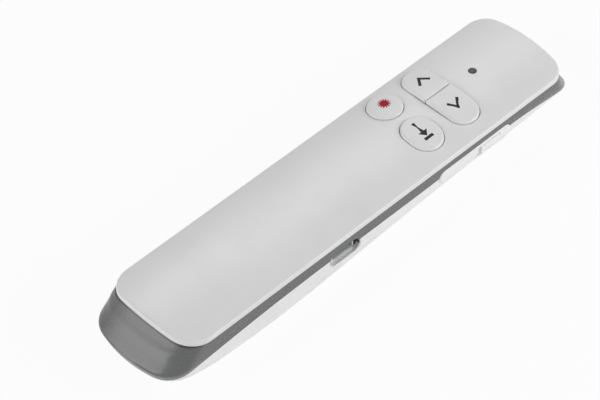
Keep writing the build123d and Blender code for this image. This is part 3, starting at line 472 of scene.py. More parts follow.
@dataclass(frozen=True)
class CaseForm:
    """The moulded form of the case, which the cover, the frame and the shell share.

    Each parting row holds a distance along the cover and the depth of the parting line there, as shares.
    Each level row holds a depth, the reach of the tail and of the nose, the half widths at the tail, the
    middle and the nose, how far the inner wall is raised and how far it is set in. All are shares.
    """

    cover_length: float = 132.6
    cover_half_width: float = 14.75
    body_height: float = 14.7
    crown_height: float = 1.6
    cover_thickness: float = 1.3
    cover_tail_bow: float = 1.73
    cover_nose_bow: float = 1.32
    cover_tail_corner: float = 7.4
    cover_nose_corner: float = 5.5
    tail_flare: float = 6.9
    nose_bulge: float = 4.0
    wall_inset: float = 0.4
    wall: float = 1.3
    belly: float = 0.05
    margin: float = 0.03
    tail_bow_share: float = 0.208
    nose_bow_share: float = 0.132
    tail_corner_share: float = 0.536
    nose_corner_share: float = 0.289
    bow_steps: int = 8
    corner_steps: int = 12
    side_steps: int = 64
    steps_per_level: int = 20
    slope_rounds: int = 2
    level_shares: tuple = (
        (0.068, -0.058, 0.9970, 1.000, 1.000, 1.000, 0.00, 1.00),
        (0.204, 0.235, 1.0002, 1.000, 1.000, 1.000, 0.00, 1.00),
        (0.286, 0.440, 1.0038, 1.000, 1.000, 1.000, 0.00, 1.00),
        (0.381, 0.600, 1.0086, 1.000, 1.000, 0.998, 0.00, 1.00),
        (0.476, 0.812, 1.0130, 1.000, 1.000, 0.990, 0.00, 1.00),
        (0.565, 1.000, 1.0190, 1.000, 1.000, 0.974, 0.00, 1.00),
        (0.633, 0.975, 1.0256, 0.986, 1.000, 0.948, 0.10, 1.00),
        (0.701, 0.923, 1.0302, 0.968, 0.989, 0.909, 0.30, 0.95),
        (0.776, 0.840, 1.0060, 0.957, 0.966, 0.838, 0.50, 0.85),
        (0.844, 0.540, 0.9660, 0.952, 0.945, 0.752, 0.70, 0.70),
        (0.905, -0.020, 0.9180, 0.946, 0.920, 0.647, 0.85, 0.50),
        (0.959, -0.460, 0.8710, 0.934, 0.887, 0.533, 0.95, 0.30),
        (1.000, -0.900, 0.8190, 0.918, 0.855, 0.413, 1.00, 0.10),
    )
    parting_shares: tuple = (
        (-0.100, 0.775), (-0.060, 0.765), (-0.023, 0.730), (0.016, 0.662), (0.035, 0.633),
        (0.072, 0.592), (0.110, 0.560), (0.180, 0.520), (0.256, 0.497), (0.400, 0.482),
        (0.600, 0.482), (0.790, 0.470), (0.860, 0.470), (0.915, 0.512), (0.940, 0.544),
        (1.003, 0.640), (1.045, 0.700),
    )

    def at_x(self, distance: float) -> float:
        """Frame X of a distance along the cover."""
        return distance + self.tail_flare - (self.tail_flare + self.cover_length + self.nose_bulge) / 2

    def at_z(self, depth: float) -> float:
        """Frame Z of a depth below the crest of the cover."""
        return self.body_height - depth

    def crown_drop(self, y: Points | float) -> Points | float:
        """How far the crowned cover has fallen at a distance from its middle line."""
        radius = (self.cover_half_width**2 + self.crown_height**2) / (2 * self.crown_height)
        return radius - np.sqrt(radius**2 - np.square(y))

    def crown(self, y: Points | float) -> Points | float:
        """Height of the cover's face at a distance from its middle line."""
        return self.body_height - self.crown_drop(y)

    def end_loop(
        self,
        end_x: float,
        sign: int,
        half: float,
        bow: float,
        corner: float,
        slope: float = 0.0,
    ) -> Points:
        """Points from the apex of a bowed end round its corner to the +Y side.

        Args:
            end_x: X of the apex.
            sign: 1 at the tail, -1 at the nose.
            half: Half width of the end.
            bow: How far the end is bowed out.
            corner: Radius of the corner.
            slope: Slope of the side where the corner meets it.

        Returns:
            The points, one row each.
        """
        radius = (half**2 + bow**2) / (2 * bow)
        rise = half - corner
        run = math.sqrt((radius - corner) ** 2 - rise**2)
        turn = math.atan2(rise, run)
        stop = QUARTER - sign * math.atan(slope)
        bow_turns = np.linspace(0, turn, self.bow_steps, endpoint=False)
        corner_turns = np.linspace(turn, stop, self.corner_steps + 1)
        middle = end_x + sign * radius
        corner_x = middle - sign * run
        x = np.r_[middle - sign * radius * np.cos(bow_turns), corner_x - sign * corner * np.cos(corner_turns)]
        y = np.r_[radius * np.sin(bow_turns), rise + corner * np.sin(corner_turns)]
        return np.c_[x, y]

    def closed(self, tail: Points, side: Points, nose: Points) -> Points:
        """Join the tail, one side and the nose, and mirror them to a whole outline."""
        half = np.vstack([tail, side, nose[::-1]])
        return np.vstack([half, half[-2:0:-1] * [1, -1]])

    def cover_loop(self, inset: float) -> Points:
        """Outline of the cover, set in by a margin.

        Args:
            inset: The margin.

        Returns:
            The outline's points, one row each.
        """
        half = self.cover_half_width - inset
        tail_corner = self.cover_tail_corner - inset / 2
        nose_corner = self.cover_nose_corner - inset / 2
        tail = self.end_loop(self.at_x(inset), 1, half, self.cover_tail_bow, tail_corner)
        nose_x = self.at_x(self.cover_length - inset)
        nose = self.end_loop(nose_x, -1, half, self.cover_nose_bow, nose_corner)
        x = np.linspace(tail[-1, 0], nose[-1, 0], self.side_steps + 1)[1:-1]
        return self.closed(tail, np.c_[x, np.full(len(x), half)], nose)

    def level_loop(self, row: Points, wall: float) -> Points:
        """Outline of one level of the case.

        Args:
            row: One eased row of the level table.
            wall: 0 for the outer skin, or the wall thickness for the inner one.

        Returns:
            The outline's points, one row each.
        """
        inset = wall * row[7]
        halves = [(self.cover_half_width - self.wall_inset) * share - inset for share in row[3:6]]
        tail_x = self.at_x(inset - row[1] * self.tail_flare)
        nose_x = self.at_x(row[2] * self.cover_length - inset)
        tail_size = (halves[0], halves[0] * self.tail_bow_share, halves[0] * self.tail_corner_share)
        nose_size = (halves[2], halves[2] * self.nose_bow_share, halves[2] * self.nose_corner_share)
        tail = self.end_loop(tail_x, 1, *tail_size)
        nose = self.end_loop(nose_x, -1, *nose_size)
        for _ in range(self.slope_rounds):
            span = nose[-1, 0] - tail[-1, 0]
            middle = halves[1] + self.belly
            sag = 2 * (tail[-1, 1] + nose[-1, 1] - 2 * middle)
            lean = nose[-1, 1] - tail[-1, 1] - sag
            tail = self.end_loop(tail_x, 1, *tail_size, slope=lean / span)
            nose = self.end_loop(nose_x, -1, *nose_size, slope=(lean + 2 * sag) / span)
        share = np.linspace(0, 1, self.side_steps + 1)[1:-1]
        x = tail[-1, 0] + share * (nose[-1, 0] - tail[-1, 0])
        y = tail[-1, 1] + lean * share + sag * share**2
        return self.closed(tail, np.c_[x, y], nose)

    def skin(self, wall: float) -> tuple[Points, Points]:
        """All eased levels of one skin, from the top down.

        Args:
            wall: 0 for the outer skin, or the wall thickness for the inner one.

        Returns:
            The heights of the levels, and the outline of each.
        """
        rows = np.array(self.level_shares)
        padded = np.vstack([rows[0], rows, rows[-1]])
        levels = []
        for number in range(len(rows) - 1):
            for t in np.arange(self.steps_per_level) / self.steps_per_level:
                levels.append(self.eased(padded[number : number + 4], t))
        eased = np.array([*levels, rows[-1]])
        eased[:, 1] = np.minimum(eased[:, 1], rows[:, 1].max() - self.margin / self.tail_flare)
        eased[:, 2] = np.minimum(eased[:, 2], rows[:, 2].max() - self.margin / self.cover_length)
        loops = np.array([self.level_loop(row, wall) for row in eased])
        return self.at_z(eased[:, 0] * self.body_height) + wall * eased[:, 6], loops

    @staticmethod
    def eased(rows: Points, t: float) -> Points:
        """Find a point of the smooth curve through four rows, between the second and the third.

        Args:
            rows: The four rows.
            t: Share of the way from the second row to the third.

        Returns:
            The row there.
        """
        before, start, finish, after = rows
        slope_in = (finish - before) / 2
        slope_out = (after - start) / 2
        bend = 3 * (finish - start) - 2 * slope_in - slope_out
        twist = 2 * (start - finish) + slope_in + slope_out
        return start + t * (slope_in + t * (bend + t * twist))

    def parting(self, x: Points) -> Points:
        """Height of the line between the frame and the shell at given X.

        Args:
            x: X of each place.

        Returns:
            The height at each place.
        """
        table = np.array(self.parting_shares)
        knots = np.array([self.at_x(share * self.cover_length) for share in table[:, 0]])
        heights = self.at_z(table[:, 1] * self.body_height)
        slopes = np.gradient(heights, knots)
        number = np.clip(np.searchsorted(knots, x) - 1, 0, len(knots) - 2)
        span = knots[number + 1] - knots[number]
        t = np.clip((x - knots[number]) / span, 0, 1)
        low, high = heights[number], heights[number + 1]
        start = (2 * t**3 - 3 * t**2 + 1) * low + (t**3 - 2 * t**2 + t) * span * slopes[number]
        return start + (3 * t**2 - 2 * t**3) * high + (t**3 - t**2) * span * slopes[number + 1]


FORM = CaseForm()


@dataclass
class Skin:
    """One skin of the case, read at any height column by column."""

    heights: Points
    loops: Points
    rounds: int = 12

    @classmethod
    def of(cls, form: CaseForm, wall: float) -> "Skin":
        """Make the outer skin, or with a wall the inner one."""
        heights, loops = form.skin(wall)
        return cls(heights[::-1], loops[::-1])

    def at(self, z: Points) -> Points:
        """Points of the columns at one height each.

        Args:
            z: Height for each column.

        Returns:
            The points in plan, one row each.
        """
        place = np.interp(z, self.heights, np.arange(len(self.heights)))
        low = np.clip(place.astype(int), 0, len(self.heights) - 2)
        share = (place - low)[:, None]
        columns = np.arange(self.loops.shape[1])
        return self.loops[low, columns] * (1 - share) + self.loops[low + 1, columns] * share

    def inward(self, z: Points) -> Points:
        """Unit vectors in plan that point into the wall.

        Args:
            z: Height for each column.

        Returns:
            The vectors, one row each.
        """
        points = self.at(z)
        along = np.roll(points, -1, 0) - np.roll(points, 1, 0)
        across = np.c_[along[:, 1], -along[:, 0]]
        return across / np.linalg.norm(across, axis=1)[:, None]

    def meets(self, height_of: Callable, start: float) -> Points:
        """Height where each column meets a surface.

        Args:
            height_of: Gives the surface's height for an array of points in plan.
            start: Height to start the search from.

        Returns:
            One height for each column.
        """
        z = np.full(self.loops.shape[1], start)
        for _ in range(self.rounds):
            z = height_of(self.at(z))
        return z


def make_piece(name: str, points: Points, faces: list) -> Piece:
    """Make an object from points in millimetres, with all faces turned outwards.

    Args:
        name: Name of the piece.
        points: Points, one row each.
        faces: Lists of point numbers.

    Returns:
        The new object.
    """
    mesh = bpy.data.meshes.new(name)
    mesh.from_pydata((np.asarray(points) * MM).tolist(), [], faces)
    work = bmesh.new()
    work.from_mesh(mesh)
    bmesh.ops.recalc_face_normals(work, faces=work.faces)
    work.to_mesh(mesh)
    work.free()
    mesh.shade_smooth()
    mesh.set_sharp_from_angle(angle=math.radians(SHARP_ANGLE))
    piece = bpy.data.objects.new(name, mesh)
    bpy.context.scene.collection.objects.link(piece)
    return piece


def ring_faces(rows: int, columns: int, first: int = 0, wrap: bool = False) -> list:
    """Quads between rows of points that each run round a closed outline.

    Args:
        rows: Number of rows.
        columns: Points in each row.
        first: Number of the first point.
        wrap: Whether the last row joins the first one.

    Returns:
        The faces.
    """
    faces = []
    for row in range(rows if wrap else rows - 1):
        low = first + row * columns
        high = first + (row + 1) % rows * columns
        for column in range(columns):
            after = (column + 1) % columns
            faces.append([low + column, low + after, high + after, high + column])
    return faces


def strip_faces(columns: int, first: int) -> list:
    """Quads across a mirrored outline that close it.

    Args:
        columns: Points in the outline.
        first: Number of its first point.

    Returns:
        The faces.
    """
    faces = [[first, first + 1, first + columns - 1]]
    half = columns // 2
    for column in range(1, half - 1):
        far = columns - column
        faces.append([first + column, first + column + 1, first + far - 1, first + far])
    faces.append([first + half - 1, first + half, first + half + 1])
    return faces


def inside(points: Points, loop: Points) -> Points:
    """Tell which points lie inside a closed outline.

    Args:
        points: The points, one row each.
        loop: The outline.

    Returns:
        True for each point inside.
    """
    x, y = points[:, :1], points[:, 1:2]
    x0, y0 = loop[:, 0], loop[:, 1]
    x1, y1 = np.roll(x0, -1), np.roll(y0, -1)
    spans = (y0 > y) != (y1 > y)
    level = np.where(y1 == y0, 1.0, y1 - y0)
    cross = x0 + (y - y0) / level * (x1 - x0)
    return (spans & (x < cross)).sum(axis=1) % 2 == 1


def clearance(points: Points, loop: Points) -> Points:
    """Distance of each point from a closed outline's sides.

    Args:
        points: The points, one row each.
        loop: The outline.

    Returns:
        The distances.
    """
    start, finish = loop, np.roll(loop, -1, 0)
    run = finish - start
    length = (run**2).sum(1)
    offset = points[:, None, :] - start[None]
    share = np.clip((offset * run).sum(2) / np.maximum(length, TINY), 0, 1)
    gap = offset - share[..., None] * run
    return np.sqrt((gap**2).sum(2)).min(1)


def fill_loops(outer: Points, holes: list, spacing: float) -> tuple[Points, list]:
    """Fill an outline with holes by triangles over an even grid of inner points.

    Args:
        outer: Outline points.
        holes: Outlines of the holes.
        spacing: Distance between the inner points.

    Returns:
        The inner points, and triangles that count the outline, then the holes, then the inner points.
    """
    low, high = outer.min(0), outer.max(0)
    steps = np.maximum(np.ceil((high - low) / spacing).astype(int), 1)
    grid_x = np.linspace(low[0], high[0], steps[0] + 1)
    grid_y = np.linspace(low[1], high[1], steps[1] + 1)
    grid = np.array([(x, y) for x in grid_x for y in grid_y])
    keep = inside(grid, outer) & (clearance(grid, outer) > spacing / 2)
    for hole in holes:
        keep &= ~inside(grid, hole) & (clearance(grid, hole) > spacing / 2)
    inner = grid[keep]
    points = np.vstack([outer, *holes, inner])
    edges, first = [], 0
    for loop in (outer, *holes):
        edges += [(first + n, first + (n + 1) % len(loop)) for n in range(len(loop))]
        first += len(loop)
    found = delaunay_2d_cdt([Vector(p) for p in points], edges, [], 0, SNAP)
    original = [numbers[0] for numbers in found[3]]
    triangles = [[original[n] for n in face] for face in found[2]]
    centres = np.array([points[t].mean(0) for t in triangles])
    keep = inside(centres, outer)
    for hole in holes:
        keep &= ~inside(centres, hole)
    return inner, [t for t, kept in zip(triangles, keep) if kept]


@dataclass
class Plate:
    """A plate under a curved face, with rounded rims round its outline and its holes.

    outline gives the plate's outline for an inset. Each hole function gives the hole's outline for a growth.
    """

    outline: Callable
    face: Callable
    thickness: float
    edge: float
    spacing: float
    edge_steps: int = 5
    holes: tuple = ()
    hole_edge: float = 0.0

    def rim(self, loop_of: Callable, radius: float) -> Points:
        """Rows of one rim.

        Args:
            loop_of: Gives the outline at an inset or a growth.
            radius: Radius of the rounding.

        Returns:
            The rows, from the bottom edge up to the face.
        """
        bottom = loop_of(0)
        rows = [np.c_[bottom, self.face(bottom) - self.thickness]]
        for turn in np.linspace(0, QUARTER, self.edge_steps + 1):
            loop = loop_of(radius * (1 - math.cos(turn)))
            rows.append(np.c_[loop, self.face(loop) - radius * (1 - math.sin(turn))])
        return np.array(rows)

    def make(self, name: str) -> Piece:
        """Build the plate as one closed mesh.

        Args:
            name: Name of the piece.

        Returns:
            The piece.
        """
        rims = [self.rim(self.outline, self.edge)]
        rims += [self.rim(hole, self.hole_edge) for hole in self.holes]
        tops = [rim[-1][:, :2] for rim in rims]
        inner, triangles = fill_loops(tops[0], tops[1:], self.spacing)
        points, faces, top_numbers, low_numbers, first = [], [], [], [], 0
        for rim in rims:
            rows, columns = rim.shape[:2]
            points.append(rim.reshape(-1, 3))
            faces += ring_faces(rows, columns, first)
            low_numbers += range(first, first + columns)
            top_numbers += range(first + (rows - 1) * columns, first + rows * columns)
            first += rows * columns
        height = self.face(inner)
        points += [np.c_[inner, height], np.c_[inner, height - self.thickness]]
        top_numbers += range(first, first + len(inner))
        low_numbers += range(first + len(inner), first + 2 * len(inner))
        faces += [[top_numbers[n] for n in t] for t in triangles]
        faces += [[low_numbers[n] for n in reversed(t)] for t in triangles]
        return make_piece(name, np.vstack(points), faces)


def apply_modifiers(piece: Piece) -> None:
    """Bake a piece's modifiers into its mesh.

    Args:
        piece: The piece.
    """
    depsgraph = bpy.context.evaluated_depsgraph_get()
    mesh = bpy.data.meshes.new_from_object(piece.evaluated_get(depsgraph))
    piece.modifiers.clear()
    piece.data = mesh


def combine(piece: Piece, others: list, way: Joining) -> Piece:
    """Join or cut a piece with others, which are used up.

    Args:
        piece: The piece that stays.
        others: Pieces to join, cut away or keep within.
        way: What is done with them.

    Returns:
        The piece.
    """
    for other in others:
        modifier = piece.modifiers.new(way.value, "BOOLEAN")
        modifier.operation = way.value
        modifier.solver = "EXACT"
        modifier.object = other
    apply_modifiers(piece)
    for other in others:
        bpy.data.objects.remove(other)
    return piece


def clean_edges(piece: Piece) -> None:
    """Weld stray points after cuts and set smooth shading with crisp edges.

    Args:
        piece: The piece.
    """
    work = bmesh.new()
    work.from_mesh(piece.data)
    bmesh.ops.remove_doubles(work, verts=work.verts, dist=WELD * MM)
    bmesh.ops.dissolve_degenerate(work, dist=SLIVER * MM, edges=work.edges)
    work.to_mesh(piece.data)
    work.free()
    piece.data.shade_smooth()
    piece.data.set_sharp_from_angle(angle=math.radians(CUT_SHARP_ANGLE))
    weighted = piece.modifiers.new("weighted", "WEIGHTED_NORMAL")
    weighted.keep_sharp = True
    weighted.weight = NORMAL_WEIGHT
    apply_modifiers(piece)


def pill(length: float, height: float, steps: int = 12) -> Points:
    """Outline with straight long sides and round ends, about its middle.

    Args:
        length: Whole length.
        height: Whole height.
        steps: Segments in each end.

    Returns:
        The outline's points.
    """
    radius = height / 2
    turns = np.linspace(-QUARTER, QUARTER, steps + 1)
    cap = np.c_[length / 2 - radius + radius * np.cos(turns), radius * np.sin(turns)]
    return np.vstack([cap, -cap])


def rounded_rectangle(length: float, height: float, radius: float, steps: int = 6) -> Points:
    """Outline with four rounded corners, about its middle.

    Args:
        length: Whole length.
        height: Whole height.
        radius: Radius of the corners.
        steps: Segments in each corner.

    Returns:
        The outline's points.
    """
    turns = np.linspace(0, QUARTER, steps + 1)
    corner = np.c_[np.cos(turns), np.sin(turns)] * radius
    middle = np.array([length / 2 - radius, height / 2 - radius])
    points = []
    for quarter, signs in enumerate(((1, 1), (-1, 1), (-1, -1), (1, -1))):
        turned = corner if quarter % 2 == 0 else corner[::-1]
        points.append((turned + middle) * signs)
    return np.vstack(points)


def circle(radius: float, steps: int = 48) -> Points:
    """Outline of a circle about its middle."""
    turns = np.linspace(0, 2 * math.pi, steps, endpoint=False)
    return radius * np.c_[np.cos(turns), np.sin(turns)]


def stacked(name: str, rows: list) -> Piece:
    """Make a closed solid from outlines of equal length, stacked from one flat end to the other.

    Args:
        name: Name of the solid.
        rows: Outlines in space, one array of points each.

    Returns:
        The solid.
    """
    columns = len(rows[0])
    faces = ring_faces(len(rows), columns)
    faces.append(list(range(columns)))
    faces.append(list(range((len(rows) - 1) * columns, len(rows) * columns)))
    return make_piece(name, np.vstack(rows), faces)


def side_row(loop: Points, x: float, y: float, z: float) -> Points:
    """Place an outline upright, across the case's side."""
    return np.c_[loop[:, 0] + x, np.full(len(loop), y), loop[:, 1] + z]


def flat_row(loop: Points, x: float, y: float, z: float) -> Points:
    """Place an outline flat at a height."""
    return np.c_[loop[:, 0] + x, loop[:, 1] + y, np.full(len(loop), z)]


def nose_row(loop: Points, x: float, y: float, z: float) -> Points:
    """Place an outline upright, across the length of the case."""
    return np.c_[np.full(len(loop), x), loop[:, 0] + y, loop[:, 1] + z]


def upright(name: str, loop: Points, x: float, y: float, low: float, high: float) -> Piece:
    """Make a straight solid of an outline between two heights, at a distance along the cover."""
    return stacked(name, [flat_row(loop, FORM.at_x(x), y, z) for z in (low, high)])


def dress(piece: Piece, material: Material) -> None:
    """Give a piece one material."""
    piece.data.materials.clear()
    piece.data.materials.append(material)


def gather(name: str, parts: list) -> Piece:
    """Merge separate solids that don't touch into one object.

    Args:
        name: Name of the object.
        parts: The solids, which are used up.

    Returns:
        The object.
    """
    work = bmesh.new()
    for part in parts:
        work.from_mesh(part.data)
    mesh = bpy.data.meshes.new(name)
    work.to_mesh(mesh)
    work.free()
    for part in parts:
        bpy.data.objects.remove(part)
    whole = bpy.data.objects.new(name, mesh)
    bpy.context.scene.collection.objects.link(whole)
    return whole


def four_corners(low: tuple, high: tuple, radii: tuple, steps: int) -> Points:
    """Rectangle between two corners whose four corners have their own radii.

    Args:
        low: Lowest X and Y.
        high: Highest X and Y.
        radii: Radii at (high, high), (low, high), (low, low) and (high, low).
        steps: Segments in each corner.

    Returns:
        The outline's points.
    """
    corners = ((high[0], high[1]), (low[0], high[1]), (low[0], low[1]), (high[0], low[1]))
    signs = ((1, 1), (-1, 1), (-1, -1), (1, -1))
    points = []
    for number, (corner, sign, radius) in enumerate(zip(corners, signs, radii)):
        turns = np.linspace(0, QUARTER, steps + 1) + number * QUARTER
        middle = np.array(corner) - radius * np.array(sign)
        points.append(middle + radius * np.c_[np.cos(turns), np.sin(turns)])
    return np.vstack(points)


@dataclass
class Assembly:
    """A sub-assembly of the pointer: it builds its pieces and reports each of them."""

    def settle(
        self,
        piece: Piece,
        body: Body,
        slot: str,
        replaces: tuple = (),
        finish: Finish | None = None,
    ) -> Piece:
        """Dress a piece, seat it on its body and report it.

        Args:
            piece: The finished piece.
            body: The body that carries it.
            slot: The record's material slot of the piece.
            replaces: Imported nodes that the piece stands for.
            finish: Its finish, if it isn't the slot's own.

        Returns:
            The piece.
        """
        dress(piece, PALETTE.get(finish) if finish else PALETTE.of_slot(slot))
        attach(piece, body.value)
        if replaces:
            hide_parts(*replaces)
        log.info("%s rides on %s, %d faces", piece.name, body.value, len(piece.data.polygons))
        return piece


@dataclass
class Openings:
    """Openings in the long side and in the nose, which the frame and the shell share."""

    usb_x: float = 52.3
    usb_depth: float = 8.0
    recess_length: float = 10.3
    recess_height: float = 4.4
    recess_depth: float = 1.2
    lip: float = 0.25
    lip_start: float = 0.25
    lip_steps: int = 6
    liner_wall: float = 0.15
    liner_inset: float = 0.12
    liner_joint: float = 8.3
    liner_play: float = 0.02
    window_tail: float = 3.95
    window_nose: float = 5.0
    window_height: float = 3.3
    land_x: float = 98.15
    land_depth: float = 7.5
    land_length: float = 26.5
    land_height: float = 4.8
    land_rise: float = 0.25
    land_edge: float = 1.0
    land_edge_steps: int = 7
    land_steps: int = 16
    land_play: float = 0.05
    slot_tail_x: float = 98.0
    slot_nose_x: float = 107.2
    slot_height: float = 2.6
    slot_corner: float = 0.25
    slot_corner_steps: int = 4
    slot_pocket: float = 1.0
    slot_pocket_tail: float = 2.9
    slot_pocket_corner: float = 0.2
    slot_pocket_steps: int = 3
    slot_wall: float = 0.12
    laser_depth: float = 7.2
    ring_diameter: float = 4.7
    ring_flange: float = 5.9
    ring_seat_inset: float = 0.65
    ring_flange_room: float = 4.0
    reach: float = 6.0

    @property
    def side_y(self) -> float:
        """Y of the case's side, which faces the camera."""
        return FORM.wall_inset - FORM.cover_half_width

    def usb_recess(self) -> Piece:
        """Cutter of the socket's recess, with a rounded lip.

        Returns:
            The cutter.
        """
        x, z = FORM.at_x(self.usb_x), FORM.at_z(self.usb_depth)
        rows = []
        for turn in np.linspace(self.lip_start, QUARTER, self.lip_steps):
            grown = 2 * self.lip * (1 - math.sin(turn))
            loop = pill(self.recess_length + grown, self.recess_height + grown)
            rows.append(side_row(loop, x, self.side_y + self.lip * (1 - math.cos(turn)), z))
        first = rows[0].copy()
        first[:, 1] -= OVERCUT
        last = rows[-1].copy()
        last[:, 1] = self.side_y + self.recess_depth
        return stacked("usb_recess", [first, *rows, last])

    def usb_window(self) -> Piece:
        """Cutter of the way through the wall behind the recess."""
        near = self.window_row(0.0, self.side_y + self.recess_depth / 2)
        return stacked("usb_window", [near, self.window_row(0.0, self.side_y + self.reach)])

    def window_row(self, grown: float, y: float) -> Points:
        """Outline of the way through.

        Args:
            grown: The margin.
            y: Where the outline lies.

        Returns:
            The outline in space.
        """
        loop = pill(self.window_nose + self.window_tail + 2 * grown, self.window_height + 2 * grown)
        x = FORM.at_x(self.usb_x + (self.window_nose - self.window_tail) / 2)
        return side_row(loop, x, y, FORM.at_z(self.usb_depth))

    def socket_liner(self) -> Piece:
        """Cup that lines the recess and leaves the way through open.

        Returns:
            The piece.
        """
        x, z = FORM.at_x(self.usb_x), FORM.at_z(self.usb_depth)
        front = self.side_y + self.liner_inset
        floor = self.side_y + self.recess_depth - self.liner_wall
        outer = pill(self.recess_length, self.recess_height)
        inner = pill(self.recess_length - 2 * self.liner_wall, self.recess_height - 2 * self.liner_wall)
        back = floor + self.liner_wall
        rows = [side_row(outer, x, back, z), side_row(outer, x, front, z)]
        rows += [side_row(inner, x, front, z), side_row(inner, x, floor, z)]
        rows += [self.window_row(-self.liner_play, y) for y in (floor, back)]
        faces = ring_faces(len(rows), len(rows[0]), wrap=True)
        return make_piece("socket_liner", np.vstack(rows), faces)

    def line_above(self, liner: Piece) -> None:
        """Give the part of the liner above the parting line the frame's own plastic.

        Args:
            liner: The liner.
        """
        liner.data.materials.append(PALETTE.of_slot("frame_grey"))
        for face in liner.data.polygons:
            face.material_index = int(face.center.z > FORM.at_z(self.liner_joint) * MM)

    def land(self, grown: float, back: float) -> Piece:
        """Raised land of the slide switch, with a softly rounded front edge.

        Args:
            grown: How far the outline is grown.
            back: How far behind the case's side the land reaches.

        Returns:
            The solid.
        """
        x, z = FORM.at_x(self.land_x), FORM.at_z(self.land_depth)
        front = self.side_y - self.land_rise
        rows = []
        for turn in np.linspace(0, QUARTER, self.land_edge_steps):
            inset = self.land_edge * (1 - math.sin(turn))
            more = 2 * (grown - inset)
            loop = pill(self.land_length + more, self.land_height + more, self.land_steps)
            rows.append(side_row(loop, x, front + self.land_edge * (1 - math.cos(turn)), z))
        last = rows[-1].copy()
        last[:, 1] = self.side_y + back
        return stacked("land", [*rows, last])

    def side_cutter(self, name: str, loop: Points, distance: float, near: float) -> Piece:
        """Straight cutter of an outline on the level of the switch land, from a near Y inwards."""
        x, z = FORM.at_x(distance), FORM.at_z(self.land_depth)
        return stacked(name, [side_row(loop, x, y, z) for y in (near, self.side_y + self.reach)])

    def slot(self) -> Piece:
        """Cutter of the slot that the switch knob slides in.

        Returns:
            The cutter.
        """
        length = self.slot_nose_x - self.slot_tail_x
        loop = rounded_rectangle(length, self.slot_height, self.slot_corner, self.slot_corner_steps)
        middle = (self.slot_nose_x + self.slot_tail_x) / 2
        return self.side_cutter("slot", loop, middle, self.side_y - OVERCUT)

    def pocket(self) -> Piece:
        """Cutter of the pocket behind the slot, where the knob's flange runs.

        Returns:
            The cutter.
        """
        tail = self.slot_tail_x - self.slot_pocket_tail
        nose = self.slot_nose_x + self.slot_pocket
        height = self.slot_height + 2 * self.slot_pocket
        loop = rounded_rectangle(nose - tail, height, self.slot_pocket_corner, self.slot_pocket_steps)
        return self.side_cutter("pocket", loop, (nose + tail) / 2, self.side_y + self.slot_wall)

    def ring_hole(self) -> Piece:
        """Cutter of the laser opening in the nose, with the seat of its ring.

        Returns:
            The cutter.
        """
        z = FORM.at_z(self.laser_depth)
        seat = FORM.at_x(FORM.cover_length - self.ring_seat_inset)
        wide, narrow = circle(self.ring_flange / 2), circle(self.ring_diameter / 2)
        rows = [nose_row(wide, x, 0, z) for x in (seat - self.ring_flange_room, seat)]
        rows += [nose_row(narrow, x, 0, z) for x in (seat, seat + self.reach)]
        return stacked("ring_hole", rows)


OPENINGS = Openings()


